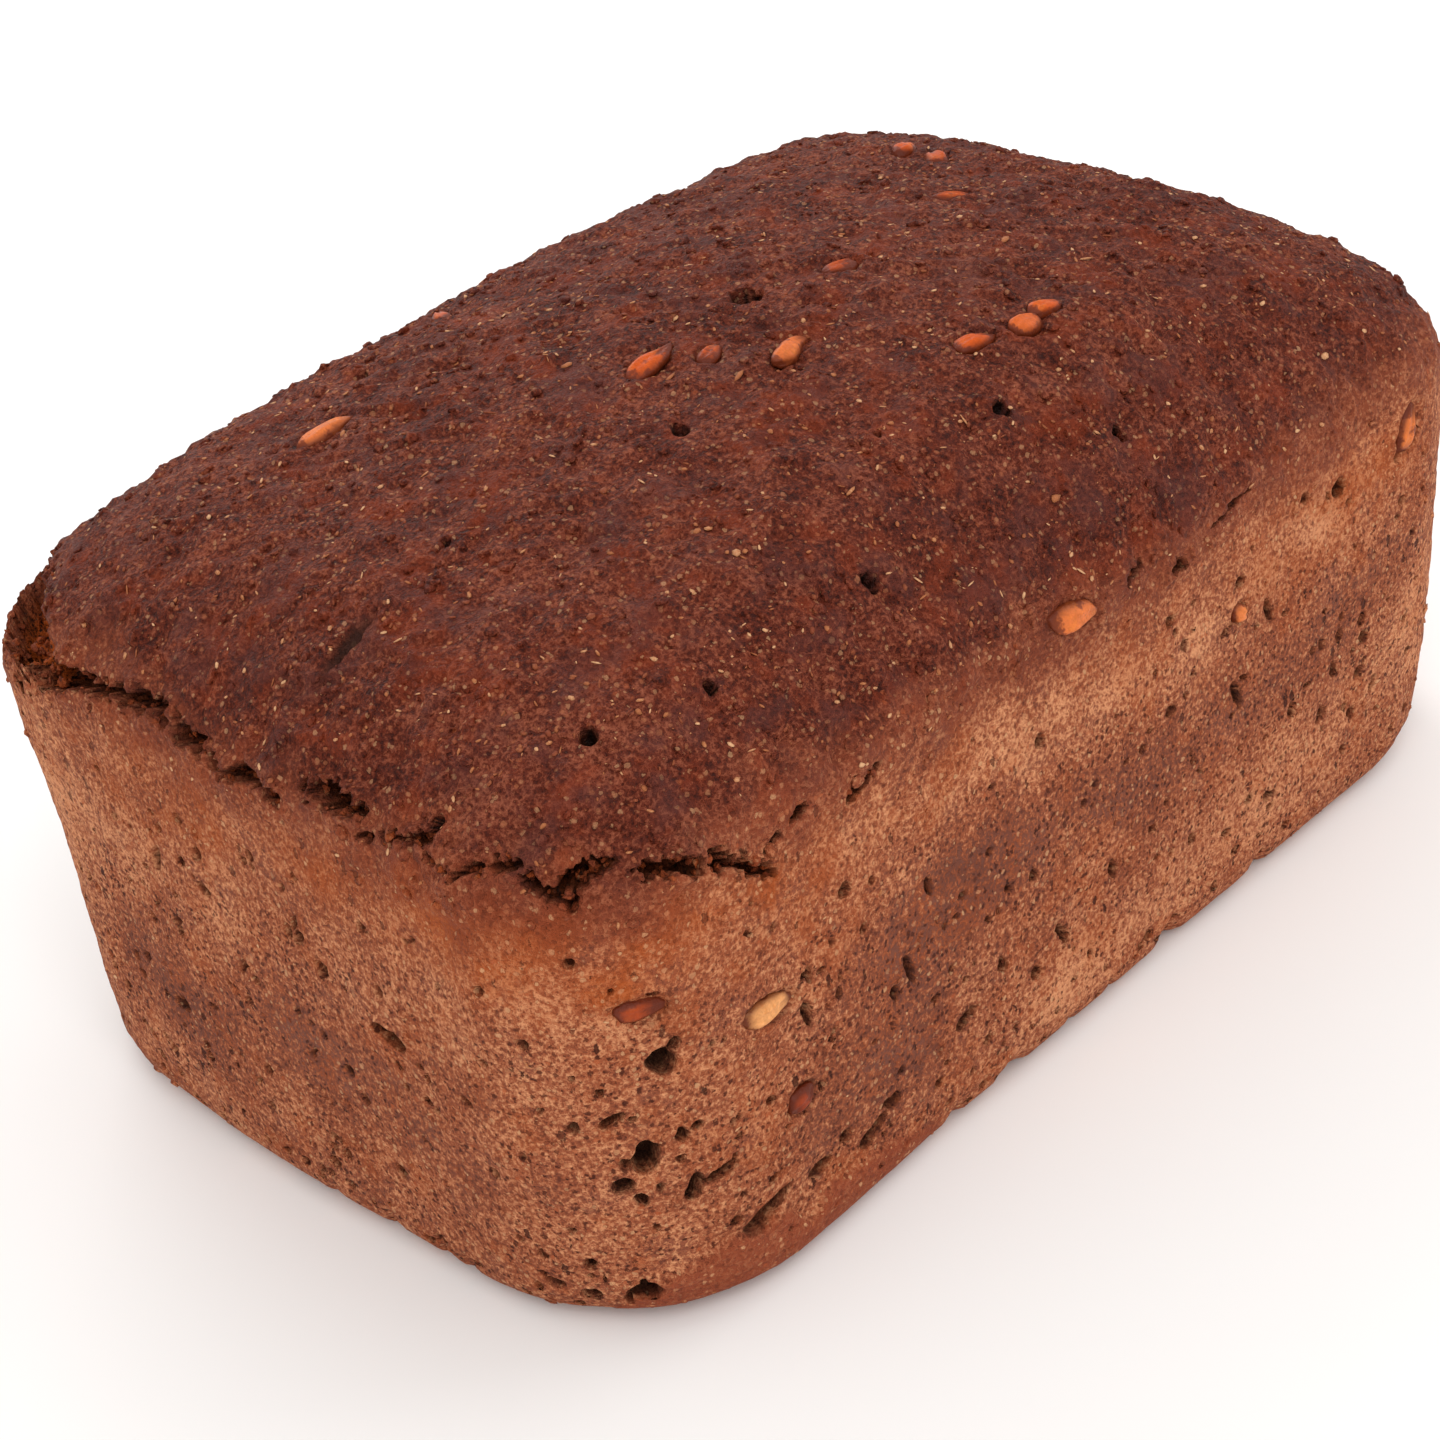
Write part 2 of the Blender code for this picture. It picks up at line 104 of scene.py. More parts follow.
def readMask(piece, name):
    values = np.zeros(len(piece.data.vertices), np.float32)
    piece.data.attributes[name].data.foreach_get("value", values)
    return values


def ripple(places, spacing, shift=0):          # soft noise from -1 to 1, with bumps about this far apart
    scaled = np.asarray(places) / spacing + shift
    return np.array([noise.noise(Vector(place)) for place in scaled.tolist()])


def applyStep(piece, kind, **values):          # adds a modifier with these values and applies it
    bpy.context.view_layer.objects.active = piece
    step = piece.modifiers.new(kind.lower(), kind)
    for key, value in values.items():
        setattr(step, key, value)
    bpy.ops.object.modifier_apply(modifier=step.name)


def pickEdges(piece, test):                    # in edit mode, selects the edges whose two ends pass the test
    bpy.ops.object.mode_set(mode="OBJECT")
    places = readPlaces(piece)
    ends = np.empty(len(piece.data.edges) * 2, np.int32)
    piece.data.edges.foreach_get("vertices", ends)
    ends = ends.reshape(-1, 2)
    chosen = test(places[ends[:, 0]], places[ends[:, 1]])
    clearPicks(piece)
    piece.data.edges.foreach_set("select", chosen)
    bpy.context.tool_settings.mesh_select_mode = (False, True, False)
    bpy.ops.object.mode_set(mode="EDIT")


def pickPoints(piece, chosen):                 # into edit mode with these points selected
    clearPicks(piece)
    piece.data.vertices.foreach_set("select", chosen)
    bpy.context.tool_settings.mesh_select_mode = (True, False, False)
    bpy.ops.object.mode_set(mode="EDIT")


def pickOnly(pieces):                          # selects these pieces and no others, the first one active
    bpy.ops.object.select_all(action="DESELECT")
    for piece in pieces:
        piece.select_set(True)
    bpy.context.view_layer.objects.active = pieces[0]


def clearPicks(piece):
    piece.data.vertices.foreach_set("select", np.zeros(len(piece.data.vertices), bool))
    piece.data.edges.foreach_set("select", np.zeros(len(piece.data.edges), bool))
    piece.data.polygons.foreach_set("select", np.zeros(len(piece.data.polygons), bool))


def outlineRun(places):                        # way round the rim from the middle of the -X end, and inset
    x, y = places[:, 0], places[:, 1]
    spareX = x - np.clip(x, -sideStraight, sideStraight)
    spareY = y - np.clip(y, -endStraight, endStraight)
    angle = np.arctan2(spareY, spareX) % (2 * math.pi)
    corner = loaf["rimCorner"]
    quarter = endStraight + cornerArc
    run = np.select(
        [(x < -sideStraight) & (spareY == 0), (y < -endStraight) & (spareX == 0),
         (x > sideStraight) & (spareY == 0), (y > endStraight) & (spareX == 0),
         (x < 0) & (y < 0), (x > 0) & (y < 0), (x > 0) & (y > 0)],
        [-y, quarter + sideStraight + x,
         quarter + cornerArc + 2 * sideStraight + endStraight + y, 3 * quarter + 3 * sideStraight - x,
         endStraight + corner * (angle - math.pi),
         quarter + 2 * sideStraight + corner * (angle - 1.5 * math.pi),
         3 * endStraight + 2 * cornerArc + 2 * sideStraight + corner * angle],
        3 * quarter + 4 * sideStraight + corner * (angle - 0.5 * math.pi))
    run = np.where(run > outlineLength / 2, run - outlineLength, run)
    reach = np.hypot(spareX, spareY)
    outward = np.stack([spareX, spareY, np.zeros(len(x))], 1) / np.maximum(reach, 1e-9)[:, None]
    inset = np.where(reach > 0, corner - reach, 0.05)
    return run, inset, outward


def evenLoaf(unit):                            # where points of a cube from -1 to 1 land on the even loaf
    u, v, w = unit.T
    share = (w + 1) / 2
    edgeTurn = np.clip(share / loaf["baseShare"], 0, 1) * math.pi / 2
    climb = (share - loaf["baseShare"]) / (loaf["wallShare"] - loaf["baseShare"])
    wallHeight = loaf["baseEdge"] + np.clip(climb, 0, 1) * (loaf["rimHeight"] - loaf["baseEdge"])
    topTurn = np.clip((share - loaf["wallShare"]) / (1 - loaf["wallShare"]), 0, 1) * math.pi / 2
    atEdge = share < loaf["baseShare"]
    atWall = (share < loaf["wallShare"]) & ~atEdge
    inset = np.select(
        [atEdge, atWall],
        [loaf["baseEdge"] * (1 - np.sin(edgeTurn)),
         -loaf["wallBulge"] * np.sin(math.pi * wallHeight / loaf["rimHeight"])],
        loaf["shoulderInset"] * (1 - np.cos(topTurn)))
    height = np.select(
        [atEdge, atWall], [loaf["baseEdge"] * (1 - np.cos(edgeTurn)), wallHeight],
        loaf["rimHeight"] + (loaf["shoulderHeight"] - loaf["rimHeight"]) * np.sin(topTurn))
    low = np.clip(1 - height / loaf["rimHeight"], 0, 1)
    radius = loaf["rimCorner"] + (loaf["baseCorner"] - loaf["rimCorner"]) * low
    halfX, halfY = halfLength - inset, halfWidth - inset
    x, y = np.abs(u) * halfX, np.abs(v) * halfY
    coreX, coreY = np.minimum(x, halfX - radius), np.minimum(y, halfY - radius)
    spareX, spareY = x - coreX, y - coreY
    reach = np.maximum(np.hypot(spareX, spareY), 1e-9)
    longest = np.maximum(spareX, spareY)
    x = np.copysign(coreX + spareX / reach * longest, u)
    y = np.copysign(coreY + spareY / reach * longest, v)
    dome = loaf["height"] - loaf["shoulderHeight"]
    dome = dome * (1 - (x / halfLength) ** 2) * (1 - (y / halfWidth) ** 2)
    return np.stack([x, y, height + dome * np.sin(topTurn)], 1)


# A cube, cut into even cells without its underside, and laid over the loaf's form
bpy.ops.object.select_all(action="DESELECT")
bpy.ops.mesh.primitive_cube_add(size=2)
crust = bpy.context.object
crust.name = "loafCrust"
for axis, cells in enumerate(loaf["cells"]):
    pickEdges(crust, lambda first, second: np.abs(first[:, axis] - second[:, axis]) > 1.9)
    bpy.ops.mesh.subdivide(number_cuts=cells - 1)
bpy.ops.object.mode_set(mode="OBJECT")
corners = readPlaces(crust)
pickPoints(crust, (corners[:, 2] < -0.999) & (np.abs(corners[:, :2]).max(1) < 0.999))
bpy.ops.mesh.delete(type="VERT")
bpy.ops.object.mode_set(mode="OBJECT")
halvings = loaf["smoothing"]
applyStep(crust, "SUBSURF", subdivision_type="SIMPLE", levels=halvings, render_levels=halvings)
writePlaces(crust, evenLoaf(readPlaces(crust)))
print("skin laid over the loaf:", len(crust.data.polygons), "cells")

# The oven crack: strokes of run, height, width and depth in millimetres, broken by bridges of dough
crack = {
    "strokes": [
        [(-42, 69.6, 1.8, 6), (-38, 69.6, 2.6, 7), (-35.4, 70.4, 3.4, 8.5), (-32, 71.2, 1.9, 5.5),
         (-23.4, 71.8, 2.1, 5)],
        [(-23.4, 71.8, 2.1, 5), (-18.5, 72.5, 2.6, 6), (-14.7, 72.4, 2.8, 6), (-10.5, 71.3, 2.3, 6),
         (-7.4, 70.8, 2.6, 6), (-4, 70.2, 1.8, 5), (-2.3, 69.8, 2.2, 5)],
        [(0.3, 69.0, 1.2, 4), (3.8, 70.3, 1.7, 5), (7.5, 70.0, 1.1, 4.5), (10, 69.0, 1.9, 5)],
        [(14.6, 71.4, 1.3, 4), (18, 71.8, 2.3, 7), (22, 71.9, 2.6, 7), (25.6, 71.4, 1.3, 5)],
        [(26.3, 69.4, 0.9, 3), (29.9, 70.5, 1.2, 4)],
        [(31.5, 71.0, 1.1, 3.5), (34, 71.5, 1.4, 4), (37.7, 72.4, 0.8, 3)],
        [(38, 71.0, 0.8, 3), (41.3, 70.3, 1.5, 4), (44, 71.0, 1.0, 4), (46.6, 71.8, 0.9, 3)],
        [(48.5, 72.0, 1.2, 4), (51.9, 71.8, 1.6, 5), (53.6, 70.8, 1.3, 4), (55.6, 69.8, 1.5, 4),
         (59.2, 68.4, 1.7, 4)],
        [(58.4, 70.4, 1.4, 4), (60.4, 71.0, 2.0, 5), (63.2, 71.6, 1.4, 4), (65.8, 72.0, 0.7, 2)],
        [(69.5, 70.3, 2.1, 5), (72, 69.4, 1.6, 5.5), (74.8, 68.5, 1.9, 5.5), (78, 67.3, 2.3, 6),
         (80.5, 66.0, 2.6, 6), (84, 63.2, 1.9, 5.5), (87.1, 60.9, 1.1, 4)],
        [(86.6, 64.4, 0.8, 3), (88.5, 65.4, 0.7, 2.5)],
        [(91.5, 66.3, 1.2, 3), (93.5, 66.6, 0.8, 3)],
        [(100.6, 63.2, 0.9, 2), (103.2, 64.4, 1.2, 2.6), (106.5, 65.6, 0.9, 2)],
        [(157, 66.4, 1.0, 2.5), (160.5, 67.2, 0.7, 2)],
        [(166.2, 63.8, 1.9, 3), (168.6, 63.2, 1.5, 3)],
        [(176, 65.2, 0.35, 1.2), (180, 66.2, 0.5, 1.5), (185, 66.7, 0.35, 1.2)],
    ],
    "jag": (0.8, 0.90, 2.1, 0.60),             # fine and broad spacing in millimetres, each with its share
    # spacing in millimetres, noise at which a bridge starts and is whole, and strength
    "bridges": (2.1, 0.20, 0.40, 0.75),
    "widen": 1.15,                             # the ragged edges close the opening by about this much
    "tilt": 24,                                # how far the opening looks up, in degrees
    "lipHeight": 0.55, "lipReach": 1.3, "crumbleReach": 1.8,
}

# The torn corner: run, inset, half width and depth of the open part
tear = [(-77, 2.4, 0.5, 1.5), (-72, 4.0, 2.0, 6.0), (-66, 5.0, 3.4, 8.5), (-60, 5.3, 3.9, 9.0),
        (-53, 5.0, 3.7, 8.5), (-47, 4.3, 3.2, 8.0), (-42, 3.0, 2.2, 7.5), (-38, 2.0, 1.2, 6.0),
        (-36, 1.7, 0.4, 3.0)]


def strokeMeasure(run, height):                # distance to the nearest stroke, its half width and its depth
    best = np.full(len(run), 1.0)
    nearest = np.full(len(run), 1.0)
    halfWide = np.full(len(run), mm)
    deep = np.zeros(len(run))
    for stroke in crack["strokes"]:
        for start, end in zip(stroke, stroke[1:]):
            alongRun, alongUp = (end[0] - start[0]) * mm, (end[1] - start[1]) * mm
            level, up = run - start[0] * mm, height - start[1] * mm
            share = (level * alongRun + up * alongUp) / (alongRun ** 2 + alongUp ** 2)
            share = np.clip(share, 0, 1)
            away = np.hypot(level - share * alongRun, up - share * alongUp)
            half = (start[2] + (end[2] - start[2]) * share) / 2 * crack["widen"] * mm
            better = away - half < best
            best = np.where(better, away - half, best)
            nearest = np.where(better, away, nearest)
            halfWide = np.where(better, half, halfWide)
            deep = np.where(better, (start[3] + (end[3] - start[3]) * share) * mm, deep)
    return nearest, halfWide, deep


def tearMeasure(run, inset):                   # how far across the torn corner a point is, and its depth
    runs, insets, halves, depths = np.array(tear).T * mm
    inside = (run > runs[0]) & (run < runs[-1])
    across = np.abs(inset - np.interp(run, runs, insets)) / np.interp(run, runs, halves)
    return np.where(inside, across, 9.0), np.interp(run, runs, depths)


def ovalShare(level, up, turn, wide, tall):    # 0 in the middle of an oval turned this far, 1 at its edge
    angle = math.radians(turn)
    return np.hypot((level * math.cos(angle) + up * math.sin(angle)) / (wide / 2 * mm),
                    (-level * math.sin(angle) + up * math.cos(angle)) / (tall / 2 * mm))


def nearRim(places, inset):                    # the zone of the crack and of the torn corner
    return (places[:, 2] > 0.055) & (inset < 0.016)


# Bubbles that broke through the walls: run, height, length, size up, depth in millimetres, turn in degrees
bubbles = {
    "named": [
        (66.5, 44.7, 3.6, 4.4, 3.0, 20), (68.4, 46.6, 2.0, 1.8, 2.4, 0), (63.0, 30.6, 3.6, 5.4, 3.4, -18),
        (59.6, 26.6, 3.4, 2.6, 2.0, 10), (61.6, 23.8, 1.8, 2.6, 1.6, 20), (59.5, 37.2, 4.2, 1.5, 1.6, 28),
        (68.6, 23.4, 2.6, 4.6, 2.4, -30), (72.6, 24.0, 5.4, 1.9, 2.2, 14), (69.8, 33.2, 2.0, 1.4, 1.4, 0),
        (27.0, 40.1, 5.0, 2.6, 2.4, -12), (24.2, 40.8, 2.6, 1.6, 1.6, 10), (88.8, 38.8, 1.6, 5.0, 2.2, 14),
        (90.2, 43.6, 1.4, 2.4, 1.6, 0), (107.6, 33.9, 1.5, 5.4, 2.6, 14), (104.6, 31.6, 1.8, 2.6, 2.0, 10),
        (113.0, 43.4, 1.5, 3.4, 2.0, 12), (100.4, 44.4, 1.6, 1.5, 1.2, 0), (94.4, 38.4, 1.3, 1.8, 1.2, 10),
        (78.5, 13.4, 9.6, 2.8, 1.5, 22), (88.6, 13.6, 4.6, 2.2, 1.3, 10), (98.5, 12.4, 6.2, 2.4, 1.5, 26),
        (103.0, 15.0, 3.4, 2.6, 1.3, 20), (60.0, 7.4, 5.6, 2.4, 2.2, 4), (52.0, 7.0, 3.4, 2.0, 1.6, 0),
        (179.0, 37.0, 1.9, 5.2, 2.4, 18), (187.8, 46.4, 1.6, 4.6, 2.0, 20),
        (205.6, 57.2, 3.4, 2.6, 2.2, 20), (163.6, 42.6, 2.4, 1.8, 1.5, 10), (181.4, 54.0, 2.0, 1.7, 1.4, 0),
        (150.0, 24.0, 1.7, 4.4, 2.0, 22), (138.6, 20.0, 1.6, 5.2, 1.9, 30),
        (125.6, 23.0, 1.8, 3.2, 1.8, 20), (133.0, 33.4, 1.6, 2.2, 1.3, 12), (211.0, 30.2, 2.2, 2.6, 1.6, 0),
        (203.0, 28.6, 1.7, 3.0, 1.6, 20), (117.0, 18.6, 2.6, 2.2, 1.6, 10),
        (-19.8, 48.2, 1.8, 4.8, 1.4, -20), (-13.6, 50.4, 1.5, 2.2, 1.3, -20),
        (-9.6, 47.6, 2.4, 1.5, 1.0, -35), (2.6, 57.6, 1.5, 1.9, 1.2, -20), (-21.6, 24.0, 2.0, 2.2, 1.4, 0),
        (9.6, 50.4, 1.1, 3.8, 1.0, -25), (-3.6, 38.0, 1.2, 2.8, 1.1, -20), (47.0, 8.6, 3.2, 1.6, 1.3, -10),
        (57.8, 61.2, 1.5, 1.6, 1.1, 0),
    ],
    "pits": 700, "pitSeed": 5, "pitLengths": (0.9, 2.2), "pitHeights": (4, 60), "pitDepth": 1.0,
    "pitTall": (0.35, 1.3), "pitUneven": (0.7, 1.2), "pitTurns": (-35, 35),
    "holes": [(-0.4, -6.0, 4.1, 3.9, 3.2), (4.3, -46.1, 2.3, 2.0, 2.6), (-30.6, -53.2, 1.9, 1.8, 2.4),
              (-58.9, -52.7, 1.6, 1.4, 2.0), (-74.5, -47.8, 2.0, 1.9, 2.4), (18.0, -54.7, 1.8, 1.6, 2.2),
              (-91.0, -37.5, 1.5, 1.4, 2.0), (-29.3, -21.1, 2.2, 2.6, 2.3), (-63.0, -12.3, 1.4, 1.3, 1.6),
              (-13.0, -40.0, 1.3, 1.0, 1.4), (31.0, 22.0, 2.0, 1.6, 2.2), (-38.0, 33.0, 1.8, 1.5, 2.0),
              (55.0, 44.0, 1.9, 1.4, 2.0), (12.0, 52.0, 1.6, 1.4, 1.8)],
}

# Whole grains, in millimetres and degrees, with the share that is left out and a tint from red (0) to tan (1)
grains = {
    "top": [    # x, y, length, width, heading, left out, tint
        (-51.6, 24.5, 9.4, 3.5, -15, 0.50, 0.62), (-21.0, -7.8, 9.2, 3.8, 7, 0.40, 0.45),
        (-14.7, -12.8, 5.2, 3.4, 10, 0.30, 0.30), (-7.1, -20.2, 9.0, 3.6, 12, 0.48, 0.60),
        (11.9, -36.0, 6.8, 4.0, -8, 0.38, 0.42), (20.3, -37.9, 6.4, 4.2, 10, 0.46, 0.55),
        (25.8, -36.8, 6.2, 3.6, 2, 0.42, 0.45), (14.0, -10.5, 6.2, 3.6, -8, 0.28, 0.30),
        (63.1, 20.3, 6.8, 4.0, 15, 0.42, 0.40), (61.7, 13.0, 7.0, 4.0, 65, 0.38, 0.30),
        (-18.0, 39.0, 7.0, 3.6, 70, 0.34, 0.40), (47.0, -3.0, 7.2, 3.6, -35, 0.28, 0.30),
    ],
    "wall": [   # run, height, length, width, turn, left out, tint
        (146.0, 66.5, 9.4, 4.6, -15, 0.50, 0.62), (82.8, 43.2, 8.6, 3.8, -9, 0.46, 0.95),
        (65.0, 52.8, 6.8, 4.0, -10, 0.28, 0.15), (181.0, 49.3, 3.6, 3.4, 0, 0.46, 0.66),
        (86.2, 26.9, 5.0, 4.4, 30, 0.26, 0.05),
    ],
    "far": {"count": 9, "seed": 17, "stretch": (0.34, 0.89), "heights": (18, 70),
            "lengths": (6.6, 9.0), "widths": (3.6, 4.4), "turns": (-60, 60), "leftOut": (0.26, 0.44),
            "steps": (0.15, 0.85), "tints": (0.1, 0.9)},
    "flatness": 0.86,
}
far = grains["far"]
farDraw = random.Random(far["seed"])
for number in range(far["count"]):
    first, last = far["stretch"]
    step = number + farDraw.uniform(*far["steps"])
    place = outlineLength / mm * (first + (last - first) * step / far["count"])
    height = farDraw.uniform(*far["heights"])
    turn, leftOut = farDraw.uniform(*far["turns"]), farDraw.uniform(*far["leftOut"])
    length, width = farDraw.uniform(*far["lengths"]), farDraw.uniform(*far["widths"])
    grains["wall"].append((place, height, length, width, turn, leftOut, farDraw.uniform(*far["tints"])))
allGrains = grains["top"] + grains["wall"]

# Fold of dough along the foot of the near corner, bites out of the bottom edge and the dented scar on top
foot = {
    "fold": [(52, 2, 0.0), (57, 5.5, 0.5), (64, 9.5, 0.9), (72, 12.0, 1.0), (82, 11.8, 0.9), (92, 9.5, 0.8),
             (102, 8.0, 0.5), (112, 5, 0.0)],
    "foldNotch": (85.5, 2.6, 4.2),
    "chips": [(16.5, 4.0, 2.6, 6.5), (26.5, 3.4, 2.0, 6.0), (31.0, 3.0, 1.6, 5.5), (164.0, 8.0, 1.9, 7.5),
              (128.0, 8.0, 1.2, 6.5), (150.0, 4.0, 1.2, 5.5), (186.0, 7.0, 1.4, 6.5),
              (116.0, 5.0, 1.1, 5.5), (141.0, 3.6, 1.0, 5.0), (5.0, 4.0, 1.0, 5.0), (-20.0, 6.0, 1.4, 2.4),
              (-150.0, 8.0, 2.2, 3.0), (-230.0, 7.0, 2.0, 3.0), (240.0, 8.0, 1.8, 2.8)],
}
scar = {"place": (-80.0, -11.3), "turn": -9, "size": (8.5, 2.4), "depth": 0.9}

# Finer cells where the crack, the torn corner, the big bubbles, the holes and the scar are
topStart = 0.062                               # the holes and the scar lie above this height
places = readPlaces(crust)
run, inset, outward = outlineRun(places)
upper = nearRim(places, inset)
fine = np.zeros(len(places), bool)
away, half, deep = strokeMeasure(run[upper], places[upper, 2])
across, deep = tearMeasure(run[upper], inset[upper])
fine[upper] = (away < half + 1.2 * mm) | (across < 1.3)
for bubbleRun, height, length, tall, deep, turn in bubbles["named"]:
    nearRun = np.abs(run - bubbleRun * mm) < (length / 2 + 0.8) * mm
    fine |= nearRun & (np.abs(places[:, 2] - height * mm) < (tall / 2 + 0.8) * mm) & (inset < 0.006)
for x, y, length, width, deep in bubbles["holes"]:
    away = np.hypot(places[:, 0] - x * mm, places[:, 1] - y * mm)
    fine |= (away < (length / 2 + 1.0) * mm) & (places[:, 2] > topStart)
away = np.hypot(places[:, 0] - scar["place"][0] * mm, places[:, 1] - scar["place"][1] * mm)
fine |= (away < 0.006) & (places[:, 2] > topStart)
pickPoints(crust, fine)
bpy.ops.mesh.subdivide(number_cuts=1)
bpy.ops.object.mode_set(mode="OBJECT")
print("fine cells at the crack:", len(crust.data.polygons), "cells")

# Lumps and swells of the dough, the same as the solid's
places = readPlaces(crust)
normals = readNormals(crust)
rise = softStep(0, 0.008, places[:, 2])
settle = loaf["topSettle"] * softStep(loaf["rimHeight"], loaf["shoulderHeight"], places[:, 2])
spacing, height = loaf["broadLump"]
lumps = ripple(places, spacing) * height
spacing, height = loaf["fineLump"]
lumps += ripple(places, spacing, np.array((5, 9, 2))) * height
run, inset, outward = outlineRun(places)
swelling = np.zeros(len(places))
for x, y, z, reach, amount in loaf["swells"]:
    away = np.linalg.norm(places - np.array((x, y, z)) * mm, axis=1)
    swelling += amount * mm * np.exp(-(away / (reach * mm)) ** 2)
places += normals * (lumps * rise - settle)[:, None] + outward * swelling[:, None]
places[places[:, 2] < 1e-6, 2] = 0

# The crust's masks and relief: heights in millimetres, and relief on the walls with what the top adds to it
crustForm = {
    "crownHeights": (60.0, 75.0),              # the dark top starts at the first and is whole at the second
    "spongeHeights": (58, 44),                 # open pores start below the first and are whole at the second
    "grainRelief": (0.26, 0.46), "lumpRelief": (0.22, 0.62), "wrinkleRelief": 0.60, "wrinkleTurn": -56,
}
# The dark top reaches further down the near long side, and less far at the left of the short end
reachDown = 3.5 * np.exp(-((places[:, 0] / mm - 8) / 45) ** 2) * (places[:, 1] < 0)
reachDown -= 4.0 * np.exp(-((places[:, 1] / mm - 34) / 18) ** 2) * (places[:, 0] < -0.085)
crownEdge = places[:, 2] / mm + reachDown + 4.0 * ripple(places, 0.011, 31) + 3.0 * ripple(places, 0.0035, 57)
crown = softStep(*crustForm["crownHeights"], crownEdge)
spongeEdge = places[:, 2] / mm + 6 * ripple(places, 0.014, 77)
sponge = softStep(*crustForm["spongeHeights"], spongeEdge) * (1 - crown)
sponge *= softStep(-0.9, 0.3, ripple(places, 0.009, 66))
# Painted shade: how dark the colour is painted in the crack, the torn corner, the pits, the holes and the
# grain sockets
hollowShade = np.zeros(len(places))
rust = np.zeros(len(places))

# Granular top with wrinkles that run across it, and a finer grain on the walls
grain = ripple(places, 0.0019, 11) * 0.6 + ripple(places, 0.0009, 23) * 0.4
wrinkleTurn = math.radians(crustForm["wrinkleTurn"])
alongWrinkle = places[:, 0] * math.cos(wrinkleTurn) + places[:, 1] * math.sin(wrinkleTurn)
acrossWrinkle = -places[:, 0] * math.sin(wrinkleTurn) + places[:, 1] * math.cos(wrinkleTurn)
stretched = np.stack([alongWrinkle / 4, acrossWrinkle, places[:, 2]], 1)
stretched += 0.0016 * ripple(places, 0.009, 71)[:, None]
wrinkle = 1 - np.abs(ripple(stretched, 0.0032, 3)) * 2.2
topMiddle = 0.5 * np.exp(-((places[:, 0] - 0.02) ** 2 + (places[:, 1] + 0.02) ** 2) / 0.03 ** 2)
wrinkled = crown * softStep(-0.35, 0.35, ripple(places, 0.024, 91) + topMiddle)
wallPart, topPart = crustForm["grainRelief"]
relief = grain * (wallPart + topPart * crown)
wallPart, topPart = crustForm["lumpRelief"]
relief += ripple(places, 0.0048, 43) * (wallPart + topPart * crown)
relief += wrinkle * wrinkled * crustForm["wrinkleRelief"]
moved = places + normals * (relief * rise * mm)[:, None]

# The crack, its raised lips and the torn corner
upper = np.flatnonzero(nearRim(places, inset))
spot = places[upper]
fineJag, fineShare, broadJag, broadShare = crack["jag"]
jag = ripple(spot, fineJag * mm, 7) * fineShare + ripple(spot, broadJag * mm, 19) * broadShare
away, half, deep = strokeMeasure(run[upper], spot[:, 2])
bridgeSpacing, bridgeStart, bridgeWhole, bridgeStrength = crack["bridges"]
bridge = softStep(bridgeStart, bridgeWhole, ripple(spot * np.array((1, 1, 0.4)), bridgeSpacing * mm, 47))
bridge = bridge * bridgeStrength
crackEdge = away / half + jag * np.minimum(1.2, 0.9 * mm / half) + bridge
opened = softStep(1.12, 0.86, crackEdge)
# painted shade in the crack, darker where the crack is deeper
darkened = softStep(1.18, 0.98, crackEdge) * softStep(0.2 * mm, 1.6 * mm, deep)
lip = np.exp(-(np.maximum(away - half, 0) / (crack["lipReach"] * mm)) ** 2) * (1 - opened)
tilt = math.radians(crack["tilt"])
inward = -(outward[upper] * math.cos(tilt) + np.array((0, 0, math.sin(tilt))))
rough = 0.8 + 0.75 * ripple(spot, 0.0013, 5)
push = opened * deep * rough
lipRise = lip * crack["lipHeight"] * mm * (0.7 + 0.8 * ripple(spot, 0.003, 13))
lipRise = lipRise * softStep(0.4 * mm, 1.0 * mm, half)
moved[upper] += inward * (push - lipRise)[:, None]
crumble = np.exp(-(np.maximum(away - half, 0) / (crack["crumbleReach"] * mm)) ** 2) * (1 - opened)
crumble = crumble * softStep(0.3 * mm, 0.8 * mm, half)
unevenLip = 0.45 * ripple(spot, 0.0012, 41) + 0.5 * ripple(spot, 0.0024, 53)
moved[upper] += normals[upper] * (crumble * unevenLip * mm)[:, None]
across, tearDeep = tearMeasure(run[upper], inset[upper])
torn = softStep(1.08, 0.88, across + jag * 0.60 * softStep(0.35, 0.95, across)) * (spot[:, 2] > 0.06)
tearInward = -(outward[upper] * 0.22 + np.array((0, 0, 0.97)))
roughTear = 0.88 + 0.5 * ripple(spot, 0.0035, 29) + 0.28 * ripple(spot, 0.0015, 37)
moved[upper] += tearInward * (torn * np.maximum(tearDeep - push, 0) * roughTear)[:, None]
# the crack and the torn corner get painted shade; the torn corner and a share of the crack also get the
# orange crumb colour
hollowShade[upper] = np.maximum(darkened, softStep(0.02, 0.35, torn))
rust[upper] = np.maximum(torn, 0.20 * opened)
gap = np.zeros(len(places))
gap[upper] = np.maximum(opened * softStep(0.3 * mm, 0.7 * mm, half), torn)

# Bubbles, pits and pinholes
draw = np.random.default_rng(bubbles["pitSeed"])
pits = list(bubbles["named"])
for number in range(bubbles["pits"]):
    length = draw.uniform(*bubbles["pitLengths"]) * draw.uniform(0.6, 1)
    pitRun = draw.uniform(-0.5, 0.5) * outlineLength / mm
    lowest, highest = bubbles["pitHeights"]
    height = lowest + (highest - lowest) * draw.uniform(0, 1) ** 1.25
    tall = length * draw.uniform(*bubbles["pitTall"])
    deep = bubbles["pitDepth"] * length * draw.uniform(*bubbles["pitUneven"])
    pits.append((pitRun, height, length, tall, deep, draw.uniform(*bubbles["pitTurns"])))
wall = np.flatnonzero((inset < 0.006) & (places[:, 2] < 0.070))
wallRun, wallHeight = run[wall], places[wall, 2]
order = np.argsort(wallRun)
wall, wallRun, wallHeight = wall[order], wallRun[order], wallHeight[order]
